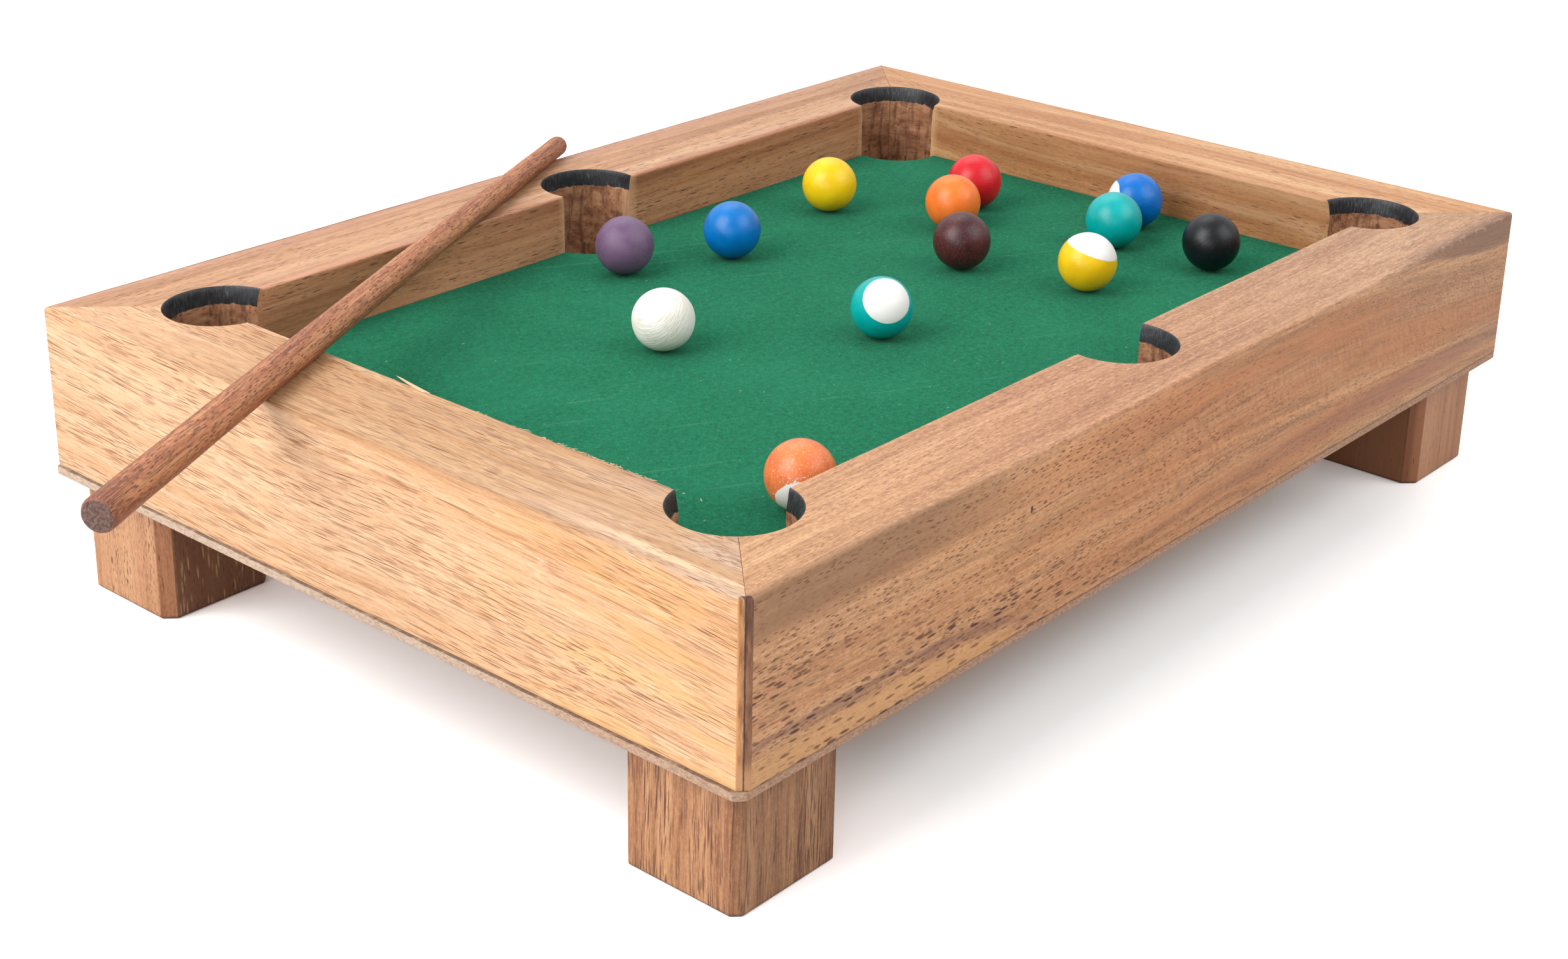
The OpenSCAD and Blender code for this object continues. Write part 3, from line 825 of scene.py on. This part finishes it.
def hardboard(name):
    """Pressed fibre board; painted shade makes its cut edge duller on the near side, browner along the long sides
    and dark where it meets the rails.
    """
    m = Mat(name)
    p = m.attr("grain")
    _, y, z = m.xyz(p)
    fleck = m.noise(p, (1.1, 1.1, 2.4), 4.0, 0.75)
    pale = m.ramp(fleck, [(0.34, (160, 134, 114)), (0.5, (190, 164, 142)), (0.66, (208, 184, 164))])
    dull = m.ramp(fleck, [(0.34, (142, 112, 92)), (0.5, (176, 144, 120)), (0.66, (194, 164, 140))])
    # painted shade: the near side, turned from the key light, is duller
    m.colour = m.mix(m.ease(y, -85.0, -20.0), dull, pale)
    # painted shade: browner along the long sides
    side = m.ease(abs(y), by - 0.7, by - 0.2)
    m.coat(side * 0.8, m.ramp(fleck, [(0.36, (146, 108, 84)), (0.62, (194, 152, 124))]))
    spot = m.ease(m.cells(p, (0.5, 0.5, 0.9)), 0.06, 0.18, 1.0, 0.0)
    m.coat(spot * 0.5, (112, 78, 60))
    # painted shade in the joint with the rails
    top = z + m.noise(p, 0.25, 3.0) * 0.3
    m.coat(m.ease(top, board_hi[2] + 0.06, board_hi[2] + 0.18, 0.6), (60, 38, 28))
    fuzz = m.noise(p, 3.0, 4.0, 0.75)
    return m.finish(0.85, fleck + fuzz, 0.08, 0.6, IOR=1.35)


board_lo, board_hi = mm_box("base_board")
bx, by = board_hi[0], board_hi[1]
cn, cl, cr, cf = (CORNERS[k][0] for k in ("near", "left", "right", "far"))
board_outline = [(-bx + cn, -by), (bx - cr, -by), (bx, -by + cr), (bx, by - cf), (bx - cf, by),
                 (-bx + cl, by), (-bx, by - cl), (-bx, -by + cn)]
block("base_board", board_outline, board_lo[2], board_hi[2], 0.12, 0.3, 1.3, hardboard("hardboard"),
      {"grain": lambda v: v}, 5.0, 0.07, 3)


# ---------------------------------------------------------------- legs
# the screws: how far off the leg's centre towards the corner, how far to each side, radius of the counterbore
SCREW_OFF, SCREW_SIDE, COUNTERBORE_R = 3.25, 5.0, 4.1
leg_lo, leg_hi = mm_box("leg_near")
LEG_HALF = (leg_hi[0] - leg_lo[0]) / 2


def leg_painted_shade(m, p, q):
    """Painted shade: browner on the side turned from the window."""
    shade = m.ease(m.xyz(p)[1], -LEG_HALF + 2.0, -LEG_HALF + 0.6)
    m.coat(shade, (0.78, 0.77, 0.74, 1.0), "MULTIPLY")


def leg_flecks_and_shade(m, p, q):
    """Short pale flecks, and painted shade: a darker face on the side turned from the window."""
    x, y, _ = m.xyz(p)
    cut = m.ease(x + y, -26.7, -27.2)
    # painted shade on the side turned from the window, kept off the chamfer
    shade = m.ease(y, -LEG_HALF + 1.5, -LEG_HALF + 0.5) * (1.0 - cut)
    m.coat(shade * 0.70, (92, 38, 14))
    m.coat(cut, (0.68, 0.54, 0.48, 1.0), "MULTIPLY")
    dash = pores(m, q + (2.0, 1.0, 6.0), 7.0, 0.85, 0.27)
    m.coat(dash * shade * 0.6, (214, 160, 116))


def leg_dark_side(m, p, q):
    """Painted shade: much darker on the side turned from the window, a little lighter on the eased edge."""
    x, y, _ = m.xyz(p)
    shade = m.ease(x, -LEG_HALF + 2.0, -LEG_HALF + 0.8)
    cut = m.ease(x + y, -26.4, -26.9)
    m.coat(cut * 0.8, (156, 98, 62))
    # painted shade on the side turned from the window
    m.coat(shade * 0.68, (116, 62, 34))


LEG_LOOKS = {
    "leg_near": dict(ease=1.9, look=dict(
        tones=((154, 99, 62), (188, 134, 91), (204, 151, 106)), dark=(104, 60, 42), light=(222, 172, 126),
        band=5.0, ring=1.6, rings=0.4, lines=0.45, hairs=0.4, grit=0.3, big=(20.0, 0.55, 0.27),
        small=(9.0, 0.42, 0.28), veins=(0.9, 1.0), extra=leg_painted_shade)),
    "leg_left": dict(ease=2.6, look=dict(
        tones=((172, 116, 76), (190, 136, 94), (202, 150, 107)), dark=(134, 80, 50), light=(226, 178, 134),
        band=9.0, ring=2.4, rings=0.3, lines=0.3, hairs=0.3, grit=0.35, big=(5.0, 0.9, 0.18),
        small=(2.2, 0.5, 0.26), extra=leg_flecks_and_shade)),
    "leg_right": dict(ease=2.9, look=dict(
        tones=((164, 108, 70), (182, 127, 87), (192, 138, 98)), dark=(140, 90, 58),
        light=(204, 152, 110), band=9.0, ring=2.0, rings=0.3, lines=0.25, hairs=0.2, big=(8.0, 0.9, 0.10),
        small=(3.0, 0.5, 0.12), extra=leg_dark_side)),
    "leg_far": dict(ease=2.2, look=dict(
        tones=((160, 108, 72), (188, 136, 96), (204, 154, 112)), dark=(122, 76, 52),
        light=(216, 168, 124), band=6.0, ring=1.6, rings=0.5, lines=0.4, hairs=0.3, big=(9.0, 0.9, 0.16),
        small=(4.0, 0.5, 0.18))),
}
for i, (name, style) in enumerate(LEG_LOOKS.items()):
    lo, hi = mm_box(name)
    cx, cy = (lo + hi)[:2] / 2
    far, near = LEG_HALF, LEG_HALF - style["ease"]
    corners = [(-near, -far), (near, -far), (far, -near), (far, near), (near, far), (-near, far),
               (-far, near), (-far, -near)]
    outline = [(cx + u, cy + v) for u, v in corners]
    sx, sy = math.copysign(1, cx), math.copysign(1, cy)
    holes = [((cx + sx * (SCREW_OFF + SCREW_SIDE * s), cy + sy * (SCREW_OFF - SCREW_SIDE * s)), COUNTERBORE_R,
              mm_box("leg_screws")[0][2]) for s in (-1, 1)]
    # painted shade at each leg's foot, where it stands on the floor
    mat = wood("wood_" + name, pore_big=(92, 54, 40), pore_small=(112, 68, 48), bottom_shade=0.8, **style["look"])
    t = 40 * i
    block(name, outline, lo[2], hi[2], 0.25, 0.7, 1.0, mat,
          {"grain": lambda v: (v[2] + 3 * t, v[0] - cx + t, v[1] - cy + 2 * t),
           "place": lambda v: (v[0] - cx, v[1] - cy, v[2])}, 3.0 * i, 0.03, 8, holes)


# ---------------------------------------------------------------- felt
def felt_material(name):
    """Pressed wool: gritty nap, faint rubs, a few pale bits of lint."""
    m = Mat(name)
    p = m.attr("grain")
    cloud = m.noise(p, 0.045, 3.0, 0.6)
    mottle = m.noise(p, 0.7, 4.0, 0.7)
    fibre = m.noise(p, 2.0, 4.0, 0.8, 1.0)
    m.colour = m.ramp(mottle, [(0.35, (14, 98, 68)), (0.65, (24, 122, 86))])
    m.coat(m.ease(cloud, 0.42, 0.68, 0.3), (34, 130, 94))
    m.coat(m.ease(fibre, 0.54, 0.70, 0.6), (82, 172, 132))
    m.coat(m.ease(fibre, 0.46, 0.30, 0.8), (0, 62, 38))
    bits = m.cells(m.shift(p, m.join(mottle, cloud, 0.0)), (0.10, 0.16, 0.1))
    m.coat(m.ease(bits, 0.022, 0.040, 0.6, 0.0), (160, 178, 150))
    turned = m.node("VectorRotate", 0, {"Vector": p, "Angle": 0.5}, rotation_type="Z_AXIS")
    rub = m.noise(turned, (0.03, 0.9, 1.0), 2.0)
    m.coat(m.ease(rub, 0.66, 0.76, 0.16), (120, 172, 142))
    h = fibre + m.noise(p, 9.0, 3.0, 0.7) * 0.6
    return m.finish(0.95, h, 0.16, Sheen_Weight=0.03, Sheen_Roughness=0.5, IOR=1.3,
                    Specular_IOR_Level=0.1)


def build_felt():
    """A pressed cloth sheet with a slightly uneven nap, notched by hand round the pockets."""
    step, cut = 1.15, BORE_R + 0.35
    (x0, y0), (x1, y1) = felt_lo[:2], felt_hi[:2]
    nx, ny = int((x1 - x0) / step), int((y1 - y0) / step)
    xs, ys = np.linspace(x0, x1, nx + 1), np.linspace(y0, y1, ny + 1)
    inside = np.zeros((nx + 1, ny + 1), bool)
    for c in POCKETS.values():
        inside |= np.hypot(xs[:, None] - c[0], ys[None, :] - c[1]) < cut
    quads = [((i, j), (i + 1, j), (i + 1, j + 1), (i, j + 1)) for i in range(nx) for j in range(ny)]
    quads = [quad for quad in quads if sum(inside[a] for a in quad) <= 1]
    ids = {a: k for k, a in enumerate(dict.fromkeys(a for quad in quads for a in quad))}
    pts = [(xs[i], ys[j]) for i, j in ids]
    # edges used once make the rim
    edges = dict.fromkeys((ids[a], ids[b]) for quad in quads for a, b in zip(quad, quad[1:] + quad[:1]))
    rim = [(a, b) for a, b in edges if (b, a) not in edges]
    on_rim = {a for e in rim for a in e}
    for v in on_rim:
        x, y = pts[v]
        at_pocket = [c for c in POCKETS.values() if math.hypot(x - c[0], y - c[1]) < cut + 1.9]
        if at_pocket and x0 + 0.01 < x < x1 - 0.01 and y0 + 0.01 < y < y1 - 0.01:
            c = at_pocket[0]
            turn = math.atan2(y - c[1], x - c[0])
            r = cut + 0.12 * fbm(math.cos(turn) * 6, math.sin(turn) * 6, c[0])
            pts[v] = (c[0] + r * math.cos(turn), c[1] + r * math.sin(turn))
    verts = []
    for i, (x, y) in enumerate(pts):
        lift = -0.07 + 0.05 * fbm(x * 0.05, y * 0.05, 2.0, 3) + 0.015 * fbm(x * 0.9, y * 0.9, 7.0, 2)
        if i in on_rim:
            lift -= 0.08
        verts.append((x, y, felt_hi[2] + min(-0.005, lift)))
    n = len(verts)
    verts += [(x, y, felt_lo[2]) for x, y in pts]
    faces = [tuple(ids[a] for a in quad) for quad in quads]
    faces += [tuple(n + ids[a] for a in reversed(quad)) for quad in quads]
    faces += [(a, n + a, n + b, b) for a, b in rim]
    new_object("felt_cloth", verts, faces, [felt_material("green_felt")], None, {"grain": verts},
               smooth_deg=50, weighted=False)


build_felt()


# ---------------------------------------------------------------- balls
# the main camera's axes, fitted to the photo
RIGHT = Vector((0.650250, -0.759445, 0.020472))
UP = Vector((0.265417, 0.252338, 0.930526))
BACK = Vector((-0.711849, -0.599641, 0.365653))


def toward(x, y, z):
    """A direction given as right, up and towards the viewer of the main view."""
    return (RIGHT * x + UP * y + BACK * z).normalized()


def two_tone(base, shade, axis, angle, **more):
    """Looks of a ball with a white dipped end: the end's axis, as seen, and its half angle in degrees."""
    return dict(base=base, shade=shade, cap=(242, 240, 236), cap_axis=toward(*axis),
                cap_cos=math.cos(math.radians(angle)), **more)


def paint(name, base, shade, rough=0.28, cap=None, cap_axis=None, cap_cos=None, rag=0.02, chips=0.0,
          wrinkle=0.6, speck=None, speck_amount=0.0, dust=0.04, gloss=0.28, crease=0.0):
    """Satin paint on turned wood. cap: colour of a dipped end, its edge ragged (rag) and chipped (chips);
    speck: colour of small dots; crease: how strong scratches are."""
    m = Mat(name)
    p = m.attr("ball")
    cloud = m.noise(p, 1.6, 3.0, 0.6)
    m.colour = m.mix(m.ease(cloud, 0.35, 0.7), base, shade)
    worn = m.noise(p, 7.0, 4.0, 0.7)
    m.coat(m.ease(worn, 0.58, 0.78, dust), (206, 200, 192))
    if speck is not None:
        dots = m.noise(p, 16.0, 3.0, 0.7)
        m.coat(m.ease(dots, 0.52, 0.70, speck_amount), speck)
    grain = m.noise(p, (2.0, 2.0, 17.0), 3.0, 0.65, 0.6)
    fine = m.noise(p, 38.0, 3.0, 0.6)
    if crease:
        fold = abs(m.noise(p, (1.5, 1.5, 11.0), 2.0, 0.5, 0.5) - 0.5)
        low = m.ease(m.noise(p, 1.3), 0.40, 0.60)
        m.coat(low * m.ease(fold, 0.0, 0.02, crease, 0.0), (176, 172, 158))
    height = grain * wrinkle + fine * 0.22
    r = worn * 0.16 + (rough - 0.06)
    if cap is not None:
        edge = m.dot(p, tuple(cap_axis)) + (m.noise(p, 3.2, 3.0, 0.6) * (rag * 2) - rag)
        if chips:
            spikes = m.noise(p, 9.0, 3.0, 0.75)
            edge = edge + m.ease(spikes, 0.5, 0.75, chips)
        mask = m.ease(edge, cap_cos - 0.008, cap_cos + 0.008)
        m.coat(mask, cap)
        height = height + mask * 0.35
        r = r + mask * 0.05
    return m.finish(r, height, 0.10, IOR=1.5, Specular_IOR_Level=gloss)


BALLS = {
    "ball_cue": dict(base=(248, 245, 236), shade=(241, 237, 225), rough=0.42, wrinkle=3.0, dust=0.0,
                     gloss=0.3, crease=0.5),
    "ball_yellow": dict(base=(248, 207, 18), shade=(238, 194, 12)),
    "ball_blue": dict(base=(0, 118, 198), shade=(0, 106, 182)),
    "ball_red": dict(base=(218, 30, 42), shade=(200, 22, 36)),
    "ball_purple": dict(base=(116, 90, 120), shade=(104, 78, 108), rough=0.44, dust=0.15),
    "ball_orange": dict(base=(250, 128, 50), shade=(238, 114, 40)),
    "ball_teal": dict(base=(0, 175, 174), shade=(0, 162, 160)),
    "ball_maroon": dict(base=(76, 30, 32), shade=(56, 20, 24), rough=0.36, dust=0.06, speck=(150, 66, 62),
                        speck_amount=0.55, gloss=0.35),
    "ball_black": dict(base=(17, 20, 26), shade=(11, 13, 17), rough=0.34, dust=0.03, gloss=0.3),
    "ball_yellow_two_tone": two_tone((246, 202, 20), (236, 188, 14), (0.34 * 0.93, 0.94 * 0.93, 0.36), 62),
    "ball_blue_two_tone": two_tone((0, 114, 202), (0, 100, 186), (-0.97, 0.02, 0.08), 44, rag=0.03),
    "ball_orange_two_tone": two_tone((232, 126, 68), (214, 104, 50), (0.03, -0.80, 0.60), 45, rag=0.03,
                                     chips=0.18, speck=(244, 196, 164), speck_amount=0.5, gloss=0.3),
    "ball_teal_two_tone": two_tone((0, 175, 172), (0, 162, 158), (0.18, 0.29, 0.94), 49),
}


def build_ball(name, seed, look):
    """A slightly uneven sphere; the paint pattern is turned by a random amount on each ball."""
    lo, hi = mm_box(name)
    centre, r = (lo + hi) / 2, (hi[0] - lo[0]) / 2
    rings, seg = 48, 72
    rng = random.Random(seed)
    angle = rng.uniform(0, 6.28)
    turn = Matrix.Rotation(angle, 3, Vector((rng.uniform(-1, 1), rng.uniform(-1, 1), 0.3)).normalized())
    around = [2 * math.pi * k / seg for k in range(seg)]
    down = [math.pi * i / rings for i in range(1, rings)]
    units, faces = stitch([[Vector((math.sin(a) * math.cos(b), math.sin(a) * math.sin(b), math.cos(a)))
                            for b in around] for a in down], caps=False)
    last, top, low = len(units) - seg, len(units), len(units) + 1
    units += [Vector((0, 0, 1)), Vector((0, 0, -1))]
    for i in range(seg):
        k = (i + 1) % seg
        faces += [(top, i, k), (low, last + k, last + i)]
    verts = []
    for v in units:
        d = 0.05 * (fbm(v.x * 1.3 + seed, v.y * 1.3, v.z * 1.3, 2) - 0.6)
        if "cap" in look and v.dot(look["cap_axis"]) > look["cap_cos"]:
            d += 0.03
        q = v * (r + min(0.0, d))
        verts.append(tuple(centre[i] + q[i] for i in range(3)))
    look = dict(look)
    if "cap" in look:
        look["cap_axis"] = turn @ look["cap_axis"]
    slot = "paint_" + name[5:]
    new_object(name, verts, faces, [paint(slot, **look)], None, {"ball": [turn @ v for v in units]},
               smooth_deg=180, body=name, weighted=False)


for i, (name, look) in enumerate(BALLS.items()):
    build_ball(name, 100 + i, look)


# ---------------------------------------------------------------- cue
def cue_material(name):
    """Reddish dowel wood with short torn fibres."""
    m = Mat(name)
    q = m.attr("grain")
    tone = m.noise(q, (0.015, 0.35), 3.0, 0.6)
    m.colour = m.ramp(tone, [(0.34, (144, 82, 49)), (0.5, (179, 111, 69)), (0.66, (206, 142, 96))])
    hair = m.noise(q, (0.28, 2.3), 4.0, 0.8)
    m.coat(m.ease(hair, 0.48, 0.64, 0.7), (98, 50, 34))
    light = m.noise(q + (9.0, 4.0, 2.0), (0.30, 2.6), 3.0, 0.75)
    m.coat(m.ease(light, 0.54, 0.66, 0.6), (218, 156, 114))
    mark = m.math("MAXIMUM", pores(m, q, 2.8, 0.55, 0.25), vein_lines(m, q, 0.9) * 0.7)
    m.coat(mark * 0.7, (92, 46, 32))
    m.coat(m.ease(m.xyz(q)[0], 9.0, 1.0) * m.ease(hair, 0.4, 0.6, 0.3, 0.9), (120, 66, 48))
    return m.finish(0.52, hair * -0.7 - mark, 0.16, 0.9, IOR=1.42)


def build_cue():
    """Turned and hand-tapered stick, not quite round and not quite straight."""
    joint = next(j for j in frame["joints"] if j["name"] == "cue_stroke")
    along = Vector(joint["axis"]).normalized()
    points = np.array([v.co for v in frame["nodes"]["cue"].data.vertices]) / MM
    t = points @ np.array(along)
    t0, t1 = t.min(), t.max()
    side = Vector((0, 0, 1)).cross(along).normalized()

    def section(ta, tb):
        """Height, place to the side and radius of the CAD cue between two places along it."""
        part = points[(t >= ta) & (t <= tb)]
        z, w = part[:, 2], part @ np.array(side)
        return (z.min() + z.max()) / 2, (w.min() + w.max()) / 2, (z.max() - z.min()) / 2

    z_butt, w_butt, r_butt = section(t0, t0 + 1.5)
    z_tip, w_tip, r_tip = section(t1 - 3.0, t1)
    length = t1 - t0
    seg = 36
    loops, grain = [], []
    # shares of the length, closer together at both rounded ends
    stations = [0.0, 0.0006, 0.0016, 0.003, 0.005, *np.linspace(0.007, 0.9875, 151)]
    stations += [0.9895, 0.9925, 0.995, 0.997, 0.9987, 0.9997]
    for s in stations:
        x = s * length
        r = r_butt + (r_tip - r_butt) * s
        r *= 1 + 0.012 * fbm(x * 0.03, 1.0, 2.0)
        r -= round_off(length - x, 2.2) * 0.8 + round_off(x, 1.2) * 0.75
        sway = 0.55 * math.sin(math.pi * s)
        zc = z_butt + (z_tip - z_butt) * s
        lp = []
        for k in range(seg):
            a = 2 * math.pi * k / seg
            rr = r - abs(0.07 * fbm(math.cos(a) * 1.4, math.sin(a) * 1.4, x * 0.035, 3))
            nick = math.exp(-((x - 38) / 2.2) ** 2) * math.exp(-((a - 1.9) / 0.16) ** 2)
            rr -= 0.35 * nick
            p = along * (t0 + x) + side * (w_butt + (w_tip - w_butt) * s + sway + rr * math.cos(a))
            lp.append((p.x, p.y, zc + rr * math.sin(a)))
            grain.append((x, rr * math.cos(a), rr * math.sin(a)))
        loops.append(lp)
    verts, faces = stitch(loops)
    # stitch winds faces for loops that go down from the top; these go round the other way
    faces = [f[::-1] for f in faces]
    face_mat = [1] * seg + [0] * (len(faces) - 2 - seg) + [1, 0]
    end = end_grain("cue_end_grain", (66, 46, 42), (124, 92, 80), (24, 15, 13), (0.9, 1.5, 1.5))
    new_object("cue", verts, faces, [cue_material("cue_wood"), end], face_mat, {"grain": grain},
               smooth_deg=60, body="cue")


build_cue()


# ---------------------------------------------------------------- carried-over CAD nodes
def world_wood(name, axis, tones, dark):
    """Plain sawn wood for a CAD node, its grain along world axis 0, 1 or 2."""
    m = Mat(name)
    places = m.xyz(m.obj())
    q = m.join(places.pop(axis), *places)
    tone = m.noise(q, (0.01, 0.25), 3.0, 0.6)
    m.colour = m.ramp(tone, [(0.35, tones[0]), (0.65, tones[1])])
    line = m.noise(q, (0.03, 1.6), 3.0, 0.6)
    m.coat(m.ease(line, 0.5, 0.7, 0.5), dark)
    saw = m.noise(q, (1.2, 0.1), 2.0)
    return m.finish(0.7, line + saw, 0.08, 0.6, IOR=1.4)


def plywood(name):
    """Two plies seen on the edge, each with its own direction of grain, and a dark glue line."""
    m = Mat(name)
    p = m.obj()
    ply = m.math("FRACT", (m.xyz(p)[2] - felt_lo[2]) * (1 / 2.5))
    alt = m.ease(ply, 0.48, 0.52)
    a = m.noise(p, (0.05, 1.5), 3.0, 0.6)
    b = m.noise(p, (1.5, 0.05, 1.5), 3.0, 0.6)
    col_a = m.ramp(a, [(0.35, (176, 138, 96)), (0.65, (210, 176, 134))])
    col_b = m.ramp(b, [(0.35, (142, 100, 66)), (0.65, (178, 134, 92))])
    m.colour = m.mix(alt, col_a, col_b)
    m.coat(m.ease(abs(ply - 0.5), 0.02, 0.06, 0.6, 0.0), (70, 44, 30))
    return m.finish(0.75, a + b, 0.10, 0.6, IOR=1.4)


def zinc(name):
    """Dull plated screws, with some grime and scratches."""
    m = Mat(name)
    p = m.obj()
    cloud = m.noise(p, 0.9, 3.0, 0.6)
    scratch = m.noise(p, (6.0, 6.0, 1.2), 3.0, 0.7)
    m.colour = m.ramp(cloud, [(0.3, (150, 150, 150)), (0.7, (196, 194, 188))])
    m.coat(m.ease(m.noise(p, 2.2, 4.0, 0.7), 0.55, 0.75, 0.5), (96, 88, 78))
    return m.finish(scratch * 0.3 + 0.22, scratch, 0.02, 0.5, Metallic=1.0)


pine = ((196, 158, 112), (220, 188, 146))
CARRIED = {
    "deck_board": plywood("deck_plywood"),
    "deck_cleats_long": world_wood("cleat_wood_x", 0, pine, (160, 112, 70)),
    "deck_cleats_short": world_wood("cleat_wood_y", 1, pine, (160, 112, 70)),
    "mitre_dowels": world_wood("dowel_wood", 2, ((206, 172, 128), (226, 198, 158)), (176, 134, 92)),
    "leg_screws": zinc("leg_screw_zinc"),
    "base_screws": zinc("base_screw_zinc"),
}
for node, mat in CARRIED.items():
    ob = frame["nodes"][node]
    for s in ob.material_slots:
        s.link = "OBJECT"
        s.material = mat


# ---------------------------------------------------------------- floor, light, camera
def build_floor():
    """A pale floor, over-exposed as studio floors are; it throws back less light than it seems to."""
    me = bpy.data.meshes.new("floor")
    far = 6.0
    me.from_pydata([(-far, -far, 0), (far, -far, 0), (far, far, 0), (-far, far, 0)], [], [(0, 1, 2, 3)])
    m = Mat("floor_white")
    seen = m.node("LightPath", "Is Camera Ray", {})
    p = m.obj()
    x, y, _ = m.xyz(p)
    # under the table it is painted warmer, as painted shade; towards the two ends, where more light gets in, it
    # glows a little for the camera: painted light that lifts the shadows
    under = m.ease(y, -0.86 * by, -0.64 * by) * m.ease(x, -0.72 * bx, -0.42 * bx)
    under = under * m.ease(x, 0.4 * bx, 0.8 * bx, 1.0, 0.3)
    pale = m.mix(under, (0.96, 0.96, 0.96, 1.0), (0.82, 0.68, 0.60, 1.0))
    lift = m.mix(m.ease(x, -0.50 * bx, -0.74 * bx), (0.0, 0.0, 0.0, 1.0), (0.12, 0.075, 0.065, 1.0))
    lift = m.mix(m.ease(x, 0.55 * bx, 0.95 * bx), lift, (0.19, 0.17, 0.16, 1.0))
    # away from the table it fades into the white background
    glow = m.mix(m.ease(m.length(p), 450.0, 1300.0), lift, (1.0, 1.0, 1.0, 1.0))
    inputs = {"Base Color": m.mix(seen, (0.62, 0.62, 0.62, 1.0), pale), "Roughness": 0.6,
              "Emission Color": glow, "Emission Strength": seen}
    for key, value in inputs.items():
        m.put(m.bsdf.inputs[key], value)
    me.materials.append(m.mat)
    linked("floor", me)


def area(name, direction, distance, size, watts, target=(0, 0, 0.05)):
    """A soft light that shines on the target from a direction and a distance."""
    d = Vector(direction).normalized()
    data = bpy.data.lights.new(name, "AREA")
    data.shape, data.size, data.size_y = "RECTANGLE", size[0], size[1]
    data.energy = watts
    ob = linked(name, data)
    ob.location = Vector(target) + d * distance
    ob.rotation_euler = d.to_track_quat("Z", "Y").to_euler()


def build_world():
    """White for the camera; as a light it is dim on the viewer's side and bright above and behind."""
    world = bpy.data.worlds.new("studio")
    world.use_nodes = True
    m = Nodes(world.node_tree)
    bg = m.tree.nodes["Background"]
    way = m.node("TexCoord", "Generated", {})
    side = m.dot(way, tuple(-BACK))
    height = m.xyz(way)[2]
    glow = m.ease(side, -0.8, 0.5, 0.50, 1.0) * m.ease(height, -0.3, 0.9, 0.75, 1.25)
    seen = m.node("LightPath", "Is Camera Ray", {})
    m.put(bg.inputs[0], (1.0, 1.0, 1.0, 1.0))
    m.put(bg.inputs[1], seen * (1.3 - glow) + glow)
    bpy.context.scene.world = world


build_floor()
build_world()
area("key_left", (-0.73, 0.22, 0.63), 1.1, (0.8, 0.85), 16.0)
area("low_left", (-0.90, -0.25, 0.26), 1.0, (0.9, 0.35), 3.7, target=(-0.1, 0.0, 0.0))
area("fill_right", (0.25, -0.70, 0.66), 1.2, (1.0, 0.9), 9.0)
area("back_top", (0.35, 0.45, 0.82), 1.4, (0.9, 0.7), 4.5)

cam_data = bpy.data.cameras.new("camera")
cam_data.lens, cam_data.sensor_width, cam_data.sensor_fit = 56.076, 36.0, "HORIZONTAL"
cam_data.shift_x, cam_data.shift_y = -0.00972, -0.08020
cam_data.clip_start, cam_data.clip_end = 0.01, 50
cam = linked("camera", cam_data)
EYE = (-0.43679, -0.35785, 0.26543)
cam.matrix_world = Matrix([(RIGHT[i], UP[i], BACK[i], EYE[i]) for i in range(3)] + [(0, 0, 0, 1)])
scene = bpy.context.scene
scene.camera = cam
scene.view_settings.view_transform = "Standard"
scene.view_settings.look = "None"
